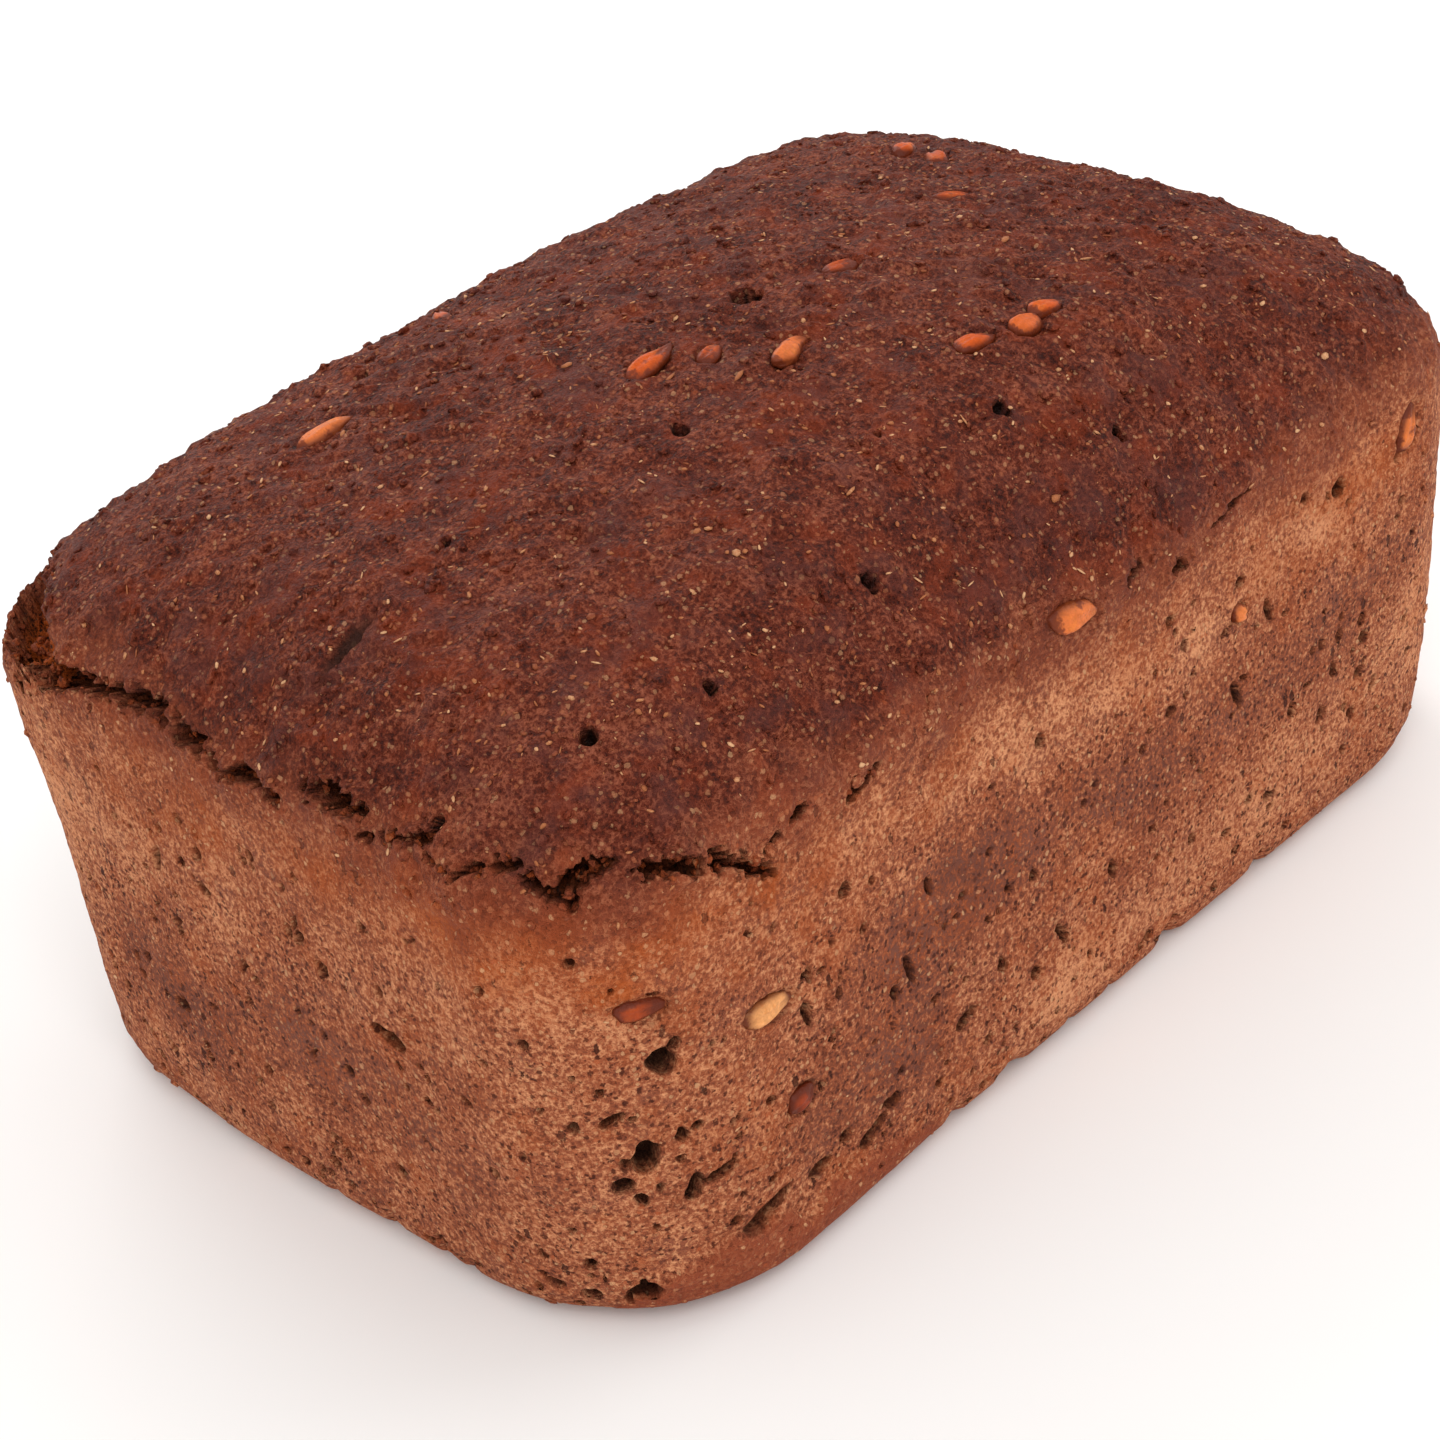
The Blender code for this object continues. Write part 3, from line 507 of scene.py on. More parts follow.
for pitRun, height, length, tall, deep, turn in pits:
    reach = max(length, tall) * mm
    start, end = np.searchsorted(wallRun, [pitRun * mm - reach, pitRun * mm + reach])
    some = slice(start, end)
    level, up = wallRun[some] - pitRun * mm, wallHeight[some] - height * mm
    turned = ovalShare(level, up, turn, length, tall)
    close = np.flatnonzero(turned < 1.6)
    if len(close) == 0:
        continue
    chosen = wall[some][close]
    edge = turned[close] + 0.28 * ripple(places[chosen], 0.0011 + 0.0002 * length, height)
    hollow = softStep(1.04, 0.70, edge)
    moved[chosen] -= (outward[chosen] + np.array((0, 0, 0.25))) * (hollow * 1.2 * deep * mm)[:, None]
    # painted shade inside each pit
    hollowShade[chosen] = np.maximum(hollowShade[chosen], softStep(1.08, 0.86, edge) * min(0.96, 0.46 + 0.22 * deep))
crownPoints = np.flatnonzero(places[:, 2] > topStart)
for x, y, length, width, deep in bubbles["holes"]:
    level, up = places[crownPoints, 0] - x * mm, places[crownPoints, 1] - y * mm
    turned = ovalShare(level, up, 0, length, width)
    close = turned < 1.8
    chosen = crownPoints[close]
    hollow = softStep(1.25, 0.80, turned[close] + 0.25 * ripple(places[chosen], 0.001, x))
    moved[chosen] -= normals[chosen] * (hollow * 1.5 * deep * mm)[:, None]
    # painted shade inside each hole on top
    hollowShade[chosen] = np.maximum(hollowShade[chosen], softStep(0.0, 0.22, hollow))

# Sockets of the grains: the crust dips under each one and stands up a little around it, with a painted shadow
# in the crevice on one side
wallPoints = np.flatnonzero(inset < 0.02)
for number, (xOrRun, yOrHeight, length, width, turn, leftOut, tint) in enumerate(allGrains):
    onTop = number < len(grains["top"])
    some = crownPoints if onTop else wallPoints
    if onTop:
        level, up = places[some, 0] - xOrRun * mm, places[some, 1] - yOrHeight * mm
    else:
        around = (run[some] - xOrRun * mm + outlineLength / 2) % outlineLength - outlineLength / 2
        climb = np.hypot(1, softStep(0.060, 0.080, places[some, 2]) * 0.8)
        level, up = around, (places[some, 2] - yOrHeight * mm) * climb
    turned = ovalShare(level, up, turn, length, width)
    close = turned < 2.4
    chosen, edge = some[close], turned[close]
    edge = edge + 0.16 * ripple(places[chosen], 0.0014, number)
    dip = softStep(1.12, 0.86, edge) * (0.8 - 0.5 * leftOut)
    ring = np.exp(-((edge - 1.38) / 0.22) ** 2) * (0.40 - 0.5 * leftOut)
    moved[chosen] += normals[chosen] * ((ring - dip) * mm)[:, None]
    # a painted shadow in the crevice along the grain's edge, on one side only
    onSide = softStep(-0.2, 0.5, ripple(places[chosen], 0.0035, number + 50))
    hollowShade[chosen] = np.maximum(hollowShade[chosen], 0.6 * onSide * np.exp(-((edge - 1.03) / 0.10) ** 2))

# Foot: the fold, and the bites out of the bottom edge
foldRuns, foldTops, foldRises = np.array(foot["fold"]).T * mm
low = (places[:, 2] < 0.020) & (run > foldRuns[0]) & (run < foldRuns[-1])
foldTop = np.interp(run, foldRuns, foldTops) + 0.9 * mm * ripple(places * np.array((1, 1, 0.2)), 0.006, 17)
notchRun, notchHalf, notchDeep = [value * mm for value in foot["foldNotch"]]
foldTop -= notchDeep * np.exp(-((run - notchRun) / notchHalf) ** 2)
foldMask = np.where(low, softStep(0.5 * mm, -0.5 * mm, places[:, 2] - foldTop), 0)
foldRise = foldMask * np.interp(run, foldRuns, foldRises) * softStep(0, 3 * mm, places[:, 2])
moved += outward * foldRise[:, None]
for chipRun, length, inwardSize, chipRise in foot["chips"]:
    ball = np.sqrt(((run - chipRun * mm) / (length / 2 * mm)) ** 2 + (places[:, 2] / (chipRise * mm)) ** 2)
    chipped = softStep(1.1, 0.4, ball + 0.25 * ripple(places, 0.0022, 61)) * (inset < 0.012)
    moved -= outward * (chipped * inwardSize * mm)[:, None]

# Scar on top
level, up = places[:, 0] - scar["place"][0] * mm, places[:, 1] - scar["place"][1] * mm
turned = ovalShare(level, up, scar["turn"], *scar["size"])
dent = softStep(1.2, 0.45, turned + 0.35 * ripple(places, 0.0016, 83)) * (places[:, 2] > 0.06)
moved -= normals * (dent * scar["depth"] * mm)[:, None]

moved[:, 2] = np.maximum(moved[:, 2], 0)
writePlaces(crust, moved)
writeMask(crust, "crown", crown)
writeMask(crust, "hollowShade", hollowShade)
writeMask(crust, "rust", rust)
writeMask(crust, "fold", foldMask)
writeMask(crust, "dent", dent)
writeMask(crust, "gap", gap)
writeMask(crust, "sponge", sponge * (1 - foldMask))
print("relief done")

# Underside, then fewer triangles where the crust is smooth
pickPoints(crust, np.zeros(len(crust.data.vertices), bool))
bpy.ops.mesh.select_mode(type="EDGE")
bpy.ops.mesh.select_non_manifold(extend=False)
bpy.ops.mesh.edge_face_add()
bpy.ops.object.mode_set(mode="OBJECT")
triangles = sum(len(face.vertices) - 2 for face in crust.data.polygons)
applyStep(crust, "DECIMATE", ratio=loaf["triangles"] / triangles)
pickOnly([crust])
bpy.ops.object.shade_smooth()
print("crust has", len(crust.data.polygons), "faces")


def patchShare(places, middle, reaches):       # 1 in the middle of a soft patch, 0 away from it
    away = np.linalg.norm((places - np.array(middle) * mm) / (np.array(reaches) * mm), axis=1)
    return np.exp(-away ** 2)


# Tone patches: x, y, z, reach along and up in millimetres, and amount from dark to pale
tones = [
    (-43, -63, 29, 12, 10, -0.65), (-36, -63, 40, 12, 8, -0.65), (-49, -63, 16, 12, 9, -0.45),
    (-22, -63, 39, 12, 7, -0.65), (0, -63, 37, 14, 7, -0.55), (22, -63, 35, 14, 8, -0.5),
    (47, -63, 36, 14, 9, -0.4), (70, -63, 44, 10, 8, -0.3), (-95, 19, 25, 12, 8, -0.55),
    (-95, -4, 31, 13, 7, -0.65), (-95, -14, 26, 12, 7, -0.5), (-95, 30, 30, 10, 7, -0.4),
    (-95, -33, 26, 9, 8, -0.3), (-20, -63, 54, 17, 5, 0.45), (2, -63, 52, 17, 4.5, 0.5),
    (24, -63, 51, 14, 4.5, 0.6), (-42, -63, 56, 13, 5, 0.2), (50, -63, 54, 16, 5, 0.8),
    (-95, -34, 55, 12, 7, 0.35), (-93, -51, 55, 9, 7, 0.35), (-89, -58, 47, 8, 8, 0.2),
    (-85, -60, 34, 9, 9, 0.1), (-95, 4, 50, 14, 8, 0.2), (-95, 26, 47, 12, 9, 0.3),
    (-95, 48, 52, 12, 14, 0.75), (-78, -46, 82, 18, 12, 0.9), (7, -58, 77, 9, 7, -0.55),
    (61, -34, 88, 18, 8, -0.3), (-30, 10, 97, 14, 9, -0.4), (20, -20, 96, 16, 8, 0.35),
    (-50, 40, 88, 18, 10, 0.4), (-2, -63, 11, 22, 6, 0.75), (36, -63, 15, 16, 8, 0.75),
    (-72, -63, 26, 9, 14, 0.1), (78, -60, 26, 12, 12, 0.8), (-95, 44, 40, 12, 12, 0.35),
    (60, 63, 33, 16, 9, -0.65), (28, 63, 38, 15, 8, -0.6), (-8, 63, 33, 14, 8, -0.6),
    (-40, 63, 37, 15, 9, -0.5), (95, -22, 32, 12, 8, -0.6), (95, 8, 28, 13, 8, -0.6),
    (95, 36, 34, 11, 8, -0.5), (40, 63, 54, 18, 5, 0.6), (-5, 63, 53, 18, 5, 0.6),
    (-50, 63, 54, 15, 5, 0.5), (95, -5, 54, 18, 6, 0.6), (95, 34, 52, 12, 6, 0.5),
]
places = readPlaces(crust)
shade = np.zeros(len(places))
for x, y, z, reach, reachUp, amount in tones:
    shade += amount * patchShare(places, (x, y, z), (reach, reach, reachUp))
shade += 0.22 * ripple(places, 0.016, 3) + 0.18 * ripple(places, 0.006, 9)
writeMask(crust, "shade", np.clip(shade, -1, 1))

# Orange patches, the same way
ambers = [
    (-91, -46, 65, 14, 8, 1.0), (-84, -60, 61, 12, 7, 0.8), (60, -63, 57, 18, 6, 0.35),
    (-95, -20, 62, 14, 6, 0.55), (-95, 12, 60, 14, 7, 0.4), (-60, -63, 58, 14, 7, 0.3),
    (95, -10, 62, 16, 6, 0.5), (10, 63, 61, 20, 5, 0.4),
]
amber = np.zeros(len(places))
for x, y, z, reach, reachUp, amount in ambers:
    amber = np.maximum(amber, amount * patchShare(places, (x, y, z), (reach, reach, reachUp)))
writeMask(crust, "amber", np.clip(amber * (1 + 1.2 * ripple(places, 0.007, 15)), 0, 1))
print("tones done")


# Node groups that the materials share
def newGroup(name, inputs, outputs):           # takes a vector and these numbers
    group = bpy.data.node_groups.new(name, "ShaderNodeTree")
    group.interface.new_socket("Vector", in_out="INPUT", socket_type="NodeSocketVector")
    for label, value in inputs.items():
        socket = group.interface.new_socket(label, in_out="INPUT", socket_type="NodeSocketFloat")
        socket.default_value = value
    for label in outputs:
        group.interface.new_socket(label, in_out="OUTPUT", socket_type="NodeSocketFloat")
    return group, group.nodes.new("NodeGroupInput").outputs, group.nodes.new("NodeGroupOutput").inputs


def addNode(tree, kind, values=None, links=None, **settings):
    node = tree.nodes.new(kind)
    for key, value in settings.items():
        setattr(node, key, value)
    for key, value in (values or {}).items():
        node.inputs[key].default_value = value
    for key, socket in (links or {}).items():
        tree.links.new(socket, node.inputs[key])
    return node


def plug(tree, node, values):                  # numbers, colours or links into a node's numbered inputs
    for slot, value in values.items():
        if isinstance(value, (int, float)):
            node.inputs[slot].default_value = value
        elif isinstance(value, tuple):
            node.inputs[slot].default_value = (*value, 1)
        else:
            tree.links.new(value, node.inputs[slot])


def addMath(tree, operation, first, second=0.5, third=None, clamp=False):
    node = addNode(tree, "ShaderNodeMath", operation=operation, use_clamp=clamp)
    plug(tree, node, {0: first, 1: second} if third is None else {0: first, 1: second, 2: third})
    return node.outputs[0]


def addRange(tree, value, low, high, lowOut=0.0, highOut=1.0):
    node = addNode(tree, "ShaderNodeMapRange", interpolation_type="SMOOTHSTEP")
    plug(tree, node, {0: value, 1: low, 2: high, 3: lowOut, 4: highOut})
    return node.outputs[0]


def addMix(tree, share, first, second, blend="MIX"):
    node = addNode(tree, "ShaderNodeMix", data_type="RGBA", blend_type=blend)
    plug(tree, node, {0: share, 6: first, 7: second})
    return node.outputs[2]


def layOver(tree, under, share, layer):        # where share is high, the layer's colour at its strength
    over, strength = layer
    return addMix(tree, addMath(tree, "MULTIPLY", share, strength), under, over)


def bakedColour(tree, sources, tone, ramp):    # a ramp's colour, by a start plus a share of each source
    total, *shares = tone
    for number, (source, share) in enumerate(zip(sources, shares)):
        total = addMath(tree, "MULTIPLY_ADD", source, share, total, clamp=number == len(shares) - 1)
    return addRamp(tree, total, ramp)


def addRamp(tree, value, stops):
    node = tree.nodes.new("ShaderNodeValToRGB")
    ramp = node.color_ramp
    while len(ramp.elements) < len(stops):
        ramp.elements.new(0.5)
    for element, (place, colour) in zip(ramp.elements, stops):
        element.position = place
        element.color = (*colour, 1)
    tree.links.new(value, node.inputs[0])
    return node.outputs[0]


def readAttribute(tree, name):
    return addNode(tree, "ShaderNodeAttribute", attribute_name=name).outputs["Fac"]


def fromScreen(red, green, blue):              # a colour as seen on a screen, 0 to 255, to its linear value
    shares = [channel / 255 for channel in (red, green, blue)]
    return tuple(((share + 0.055) / 1.055) ** 2.4 if share > 0.04 else share / 12.92 for share in shares)


# Browning: uneven tone from broad to fine around 0.5, with warm and cool patches
browningGroup, given, made = newGroup(
    "unevenBrowning", {"Broad": 110.0, "Fine": 1300.0}, ("Broad", "Fine", "Warm", "Cool"))
broad = addNode(browningGroup, "ShaderNodeTexNoise", {"Detail": 3.0, "Roughness": 0.62},
                {"Vector": given["Vector"], "Scale": given["Broad"]})
fineNoise = addNode(browningGroup, "ShaderNodeTexNoise", {"Detail": 2.0, "Roughness": 0.75},
                    {"Vector": given["Vector"], "Scale": given["Fine"]})
browningGroup.links.new(broad.outputs["Fac"], made["Broad"])
browningGroup.links.new(fineNoise.outputs["Fac"], made["Fine"])
patches = addNode(browningGroup, "ShaderNodeSeparateColor", None, {0: broad.outputs["Color"]})
browningGroup.links.new(addRange(browningGroup, patches.outputs[1], 0.50, 0.66), made["Warm"])
browningGroup.links.new(addRange(browningGroup, patches.outputs[2], 0.50, 0.66), made["Cool"])

# Specks: ragged spots of random size in small cells, dark in one share of them and pale in another
speckGroup, given, made = newGroup(
    "scatteredSpecks", {"Ragged": 0.0, "Scale": 900.0, "Size": 0.3, "Dark share": 0.3, "Pale share": 0.3},
    ("Dark", "Pale", "Tint"))
cells = addNode(speckGroup, "ShaderNodeTexVoronoi", None,
                {"Vector": given["Vector"], "Scale": given["Scale"]})
chance = addNode(speckGroup, "ShaderNodeSeparateColor", None, {0: cells.outputs["Color"]})
darkCell = addMath(speckGroup, "LESS_THAN", chance.outputs[0], given["Dark share"])
paleStart = addMath(speckGroup, "SUBTRACT", 1.0, given["Pale share"])
paleCell = addMath(speckGroup, "GREATER_THAN", chance.outputs[0], paleStart)
sizeShare = addMath(speckGroup, "MULTIPLY_ADD", chance.outputs[1], 1.0, 0.4)
speckSize = addMath(speckGroup, "MULTIPLY", given["Size"], sizeShare)
speckAway = addMath(speckGroup, "ADD", cells.outputs["Distance"], given["Ragged"])
speck = addRange(speckGroup, speckAway, speckSize, addMath(speckGroup, "MULTIPLY", speckSize, 0.55))
speckGroup.links.new(addMath(speckGroup, "MULTIPLY", darkCell, speck), made["Dark"])
speckGroup.links.new(addMath(speckGroup, "MULTIPLY", paleCell, speck), made["Pale"])
speckGroup.links.new(chance.outputs[2], made["Tint"])


def newMaterial(name):
    material = bpy.data.materials.new(name)
    material.use_nodes = True
    tree = material.node_tree
    coords = tree.nodes.new("ShaderNodeTexCoord").outputs["Object"]
    return material, tree, tree.nodes["Principled BSDF"], coords


def useGroup(tree, group, coords, values):
    node = addNode(tree, "ShaderNodeGroup", node_tree=group)
    plug(tree, node, {"Vector": coords, **values})
    return node.outputs


# Crust
crustFinish = {
    # ramps from dark to pale, and for the tone its start and the shares of shade, broad and fine browning
    "wallRamp": [(0.05, fromScreen(100, 48, 32)), (0.5, fromScreen(156, 84, 54)),
                 (0.95, fromScreen(217, 147, 104))],
    "crownRamp": [(0.08, fromScreen(48, 9, 2)), (0.5, fromScreen(97, 36, 18)),
                  (0.92, fromScreen(146, 78, 54))],
    "wallTone": (0.5, 0.34, 0.6, 2.1), "crownTone": (0.47, 0.15, 0.8, 2.0),
    # layers, each a colour and its strength
    "crownEmber": (fromScreen(136, 50, 16), 0.40), "crownPlum": (fromScreen(88, 44, 38), 0.50),
    "rim": (fromScreen(136, 62, 38), 1.6), "fold": (fromScreen(142, 66, 40), 0.75),
    # the pore layer is painted shade in the pores and slits
    "poreShade": (fromScreen(64, 24, 12), 0.86), "scar": (fromScreen(44, 24, 16), 0.85),
    # other colours and measures
    "wallAmber": fromScreen(168, 76, 24), "wallPlum": fromScreen(126, 78, 64),
    # the near-black hollow colour and its strength are painted shade in the hollows; the rust colour is the
    # exposed orange crumb
    "hollowShade": fromScreen(14, 5, 2), "rust": fromScreen(158, 70, 18), "hollowShadeStrength": 0.94,
    "fleckPale": fromScreen(220, 166, 120), "fleckRed": fromScreen(176, 86, 48),
    "browning": {"Broad": 130.0, "Fine": 1350.0},
    "specks": {"Scale": 1200.0, "Size": 0.42, "Dark share": 0.42, "Pale share": 0.32}, "speckRagged": 1.3,
    "slits": {"Scale": 330.0, "Size": 0.22, "Dark share": 0.26, "Pale share": 0.0}, "slitRagged": 0.45,
    "slitStretch": (1.5, 1.5, 0.8), "specular": 0.14, "bumpDistance": 0.0008,
}
crustMaterial, tree, shader, coords = newMaterial("ryeCrust")
crownMask = readAttribute(tree, "crown")
shadeMask = readAttribute(tree, "shade")
amberMask = readAttribute(tree, "amber")
hollowShadeMask = readAttribute(tree, "hollowShade")
rustMask = readAttribute(tree, "rust")
foldValue = readAttribute(tree, "fold")
dentValue = readAttribute(tree, "dent")
spongeMask = readAttribute(tree, "sponge")
browning = useGroup(tree, browningGroup, coords, crustFinish["browning"])
broadTone = addMath(tree, "SUBTRACT", browning["Broad"], 0.5)
fineTone = addMath(tree, "SUBTRACT", browning["Fine"], 0.5)
ragged = addMath(tree, "MULTIPLY", fineTone, crustFinish["speckRagged"])
specks = useGroup(tree, speckGroup, coords, {"Ragged": ragged, **crustFinish["specks"]})

sources = (shadeMask, broadTone, fineTone)
wallColour = bakedColour(tree, sources, crustFinish["wallTone"], crustFinish["wallRamp"])
wallWarm = addMath(tree, "MULTIPLY", amberMask, 0.85)
wallWarm = addMath(tree, "MULTIPLY_ADD", browning["Warm"], 0.25, wallWarm, clamp=True)
wallColour = addMix(tree, wallWarm, wallColour, crustFinish["wallAmber"])
wallCool = addRange(tree, shadeMask, -0.1, -0.9, 0.0, 0.45)
wallCool = addMath(tree, "MULTIPLY_ADD", browning["Cool"], 0.30, wallCool, clamp=True)
wallCool = addMath(tree, "MULTIPLY", wallCool, addRange(tree, browning["Fine"], 0.57, 0.45, 0.05, 1.0))
wallColour = addMix(tree, wallCool, wallColour, crustFinish["wallPlum"])
crownColour = bakedColour(tree, sources, crustFinish["crownTone"], crustFinish["crownRamp"])
crownColour = layOver(tree, crownColour, browning["Warm"], crustFinish["crownEmber"])
crownColour = layOver(tree, crownColour, browning["Cool"], crustFinish["crownPlum"])
colour = addMix(tree, crownMask, wallColour, crownColour)
rimShare = addMath(tree, "MULTIPLY", crownMask, addMath(tree, "SUBTRACT", 1.0, crownMask))
colour = layOver(tree, colour, rimShare, crustFinish["rim"])
colour = layOver(tree, colour, foldValue, crustFinish["fold"])
# Painted shade in the pores and slits, which are not cut into the mesh: dark spots, more of them where the
# crust is spongy
poreShadeShare = addMath(tree, "MULTIPLY", specks["Dark"], addMath(tree, "MULTIPLY_ADD", spongeMask, 0.62, 0.30))
stretched = addNode(tree, "ShaderNodeVectorMath", {1: crustFinish["slitStretch"]}, {0: coords},
                    operation="MULTIPLY")
ragged = addMath(tree, "MULTIPLY", fineTone, crustFinish["slitRagged"])
slits = useGroup(tree, speckGroup, stretched.outputs[0], {"Ragged": ragged, **crustFinish["slits"]})
offWall = addMath(tree, "MAXIMUM", addRange(tree, crownMask, 0.1, 0.6), foldValue)
slitShare = addMath(tree, "MULTIPLY", slits["Dark"], addMath(tree, "SUBTRACT", 1.0, offWall))
slitShare = addMath(tree, "MULTIPLY", slitShare, addMath(tree, "MULTIPLY_ADD", spongeMask, 0.5, 0.5))
poreShadeShare = addMath(tree, "MAXIMUM", poreShadeShare, slitShare)
colour = layOver(tree, colour, poreShadeShare, crustFinish["poreShade"])
fleckColour = addMix(tree, specks["Tint"], crustFinish["fleckRed"], crustFinish["fleckPale"])
fleckShare = addMath(tree, "MULTIPLY", specks["Pale"], addMath(tree, "MULTIPLY_ADD", crownMask, -0.26, 0.66))
calm = addMath(tree, "MULTIPLY_ADD", browning["Cool"], -0.55, 1.0)
fleckShare = addMath(tree, "MULTIPLY", fleckShare, calm)
fleckShare = addMath(tree, "MULTIPLY", fleckShare, addMath(tree, "SUBTRACT", 1.0, slitShare))
colour = addMix(tree, fleckShare, colour, fleckColour)
# Hollows: the orange crumb colour in spots where rust shows, and painted shade, near black, elsewhere
rustBits = addMath(tree, "MULTIPLY", rustMask, addRange(tree, browning["Fine"], 0.34, 0.54), clamp=True)
hollowShadeAndCrumb = addMix(tree, rustBits, crustFinish["hollowShade"], crustFinish["rust"])
colour = layOver(tree, colour, hollowShadeMask, (hollowShadeAndCrumb, crustFinish["hollowShadeStrength"]))
colour = layOver(tree, colour, dentValue, crustFinish["scar"])
roughness = addMath(tree, "MULTIPLY_ADD", crownMask, -0.22, 0.84)
roughness = addMath(tree, "MULTIPLY_ADD", fineTone, 0.3, roughness, clamp=True)
bumpHeight = addMath(tree, "MULTIPLY_ADD", slitShare, -0.9, browning["Fine"])
bumpForm = {"Strength": 1.0, "Distance": crustFinish["bumpDistance"]}
bump = addNode(tree, "ShaderNodeBump", bumpForm, {"Height": bumpHeight})
plug(tree, shader, {"Base Color": colour, "Roughness": roughness, "Normal": bump.outputs[0],
                    "Specular IOR Level": crustFinish["specular"]})
crust.data.materials.clear()
crust.data.materials.append(crustMaterial)
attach(crust, "root")
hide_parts("loaf")
print("crust finished")

# The crust's surface, to lay grains, bran and crumbs on
crustTree = BVHTree.FromObject(crust, bpy.context.evaluated_depsgraph_get())


def outlinePoint(run):                         # point of the rim's outline, and the outward direction there
    left = run % outlineLength
    facing = math.pi
    for x, y, straight in ((-1, -1, endStraight), (1, -1, 2 * sideStraight),
                           (1, 1, 2 * endStraight), (-1, 1, 2 * sideStraight)):
        along = Vector((-math.sin(facing), math.cos(facing), 0))
        outward = Vector((math.cos(facing), math.sin(facing), 0))
        core = Vector((x * sideStraight, y * endStraight, 0))
        if left < straight:
            return core + outward * loaf["rimCorner"] - along * (straight - left), outward
        left -= straight
        if left < cornerArc:
            angle = facing + left / loaf["rimCorner"]
            outward = Vector((math.cos(angle), math.sin(angle), 0))
            return core + outward * loaf["rimCorner"], outward
        left -= cornerArc
        facing += math.pi / 2
    return Vector((-halfLength, endStraight - left, 0)), Vector((-1, 0, 0))


def surfaceAt(start, direction, spread=0.0032):
    # even place and normal of the crust where this ray meets it
    side = direction.cross(Vector((0.3, 0.5, 0.8))).normalized() * spread
    up = direction.cross(side).normalized() * spread
    shifts = [side * a + up * b for a, b in ((1, 0), (-1, 0), (0, 1), (0, -1))]
    found = [crustTree.ray_cast(start + shift, direction) for shift in shifts]
    places = [hit[0] for hit in found]
    normal = (places[0] - places[1]).cross(places[2] - places[3]).normalized()
    if normal.dot(direction) > 0:
        normal.negate()
    return sum(places, Vector()) / 4, normal


def layOn(normal, turn):                       # turns Z onto the normal, and X to this angle from level
    side = Vector((0, 0, 1)).cross(normal)
    if side.length < 0.3:
        side = Vector((1, 0, 0))
    up = normal.cross(side).normalized()
    side = up.cross(normal).normalized()
    return Matrix((side, up, normal)).transposed().to_4x4() @ Matrix.Rotation(math.radians(turn), 4, "Z")


# Whole rye grains: long, blunt at one end and pointed at the other, with a crease along the top
grainForm = {
    "segments": 26, "rings": 18, "point": 0.24, "creaseDeep": 0.10, "creaseWide": 0.09,
    "broadDent": 0.09, "fineDent": 0.03, "bend": 0.06, "seed": 12,
}
bpy.ops.object.select_all(action="DESELECT")
bpy.ops.mesh.primitive_uv_sphere_add(
    segments=grainForm["segments"], ring_count=grainForm["rings"], radius=0.5)
seed = bpy.context.object
bpy.ops.object.mode_set(mode="EDIT")
bpy.ops.mesh.select_all(action="SELECT")
bpy.ops.transform.rotate(value=math.pi / 2, orient_axis="Y", center_override=(0, 0, 0))
bpy.ops.object.mode_set(mode="OBJECT")
form = readPlaces(seed)
narrow = 1 - grainForm["point"] * (1 + form[:, 0] * 2) ** 2 / 2
crease = grainForm["creaseDeep"] * np.exp(-(form[:, 1] / grainForm["creaseWide"]) ** 2)
crease = crease * softStep(0.5, 0.2, np.abs(form[:, 0])) * (form[:, 2] > 0)
form[:, 1] *= narrow
form[:, 2] = form[:, 2] * narrow - crease
writePlaces(seed, form)
bpy.ops.object.shade_smooth()
grainPieces = []
grainDraw = np.random.default_rng(grainForm["seed"])
for number, (xOrRun, yOrHeight, length, width, turn, leftOut, tint) in enumerate(allGrains):
    if number < len(grains["top"]):
        place, normal = surfaceAt(Vector((xOrRun * mm, yOrHeight * mm, 0.2)), Vector((0, 0, -1)))
    else:
        point, outward = outlinePoint(xOrRun * mm)
        aim = outward + Vector((0, 0, float(softStep(60, 72, yOrHeight)) * 0.9))
        start = point + Vector((0, 0, yOrHeight * mm)) + aim * 0.05
        place, normal = surfaceAt(start, -aim.normalized())
    thick = width * grains["flatness"]
    pickOnly([seed])
    bpy.ops.object.duplicate()
    grain = bpy.context.object
    form = readPlaces(grain)
    shifts = [number * 3 + axis for axis in range(3)]
    form += grainForm["broadDent"] * np.stack([ripple(form, 0.5, shift) for shift in shifts], 1)
    form += grainForm["fineDent"] * np.stack([ripple(form, 0.18, shift) for shift in shifts], 1)
    bent = form * np.array((length, width, thick)) * mm
    bent[:, 1] += grainForm["bend"] * width * mm * np.sin(form[:, 0] * 5) * grainDraw.choice((-1, 1))
    writePlaces(grain, bent)
    writeMask(grain, "tint", np.full(len(form), tint))
    writeMask(grain, "lengthwise", form[:, 0] + 0.5)
    writeMask(grain, "outside", np.clip((form[:, 2] - (0.5 - leftOut)) / leftOut, 0, 1))
    sunk = place + normal * thick * mm * (leftOut - 0.5)
    grain.data.transform(Matrix.Translation(sunk) @ layOn(normal, turn))
    grainPieces.append(grain)
pickOnly(grainPieces)
bpy.ops.object.join()
ryeGrains = bpy.context.object
ryeGrains.name = "ryeGrains"
bpy.data.objects.remove(seed)

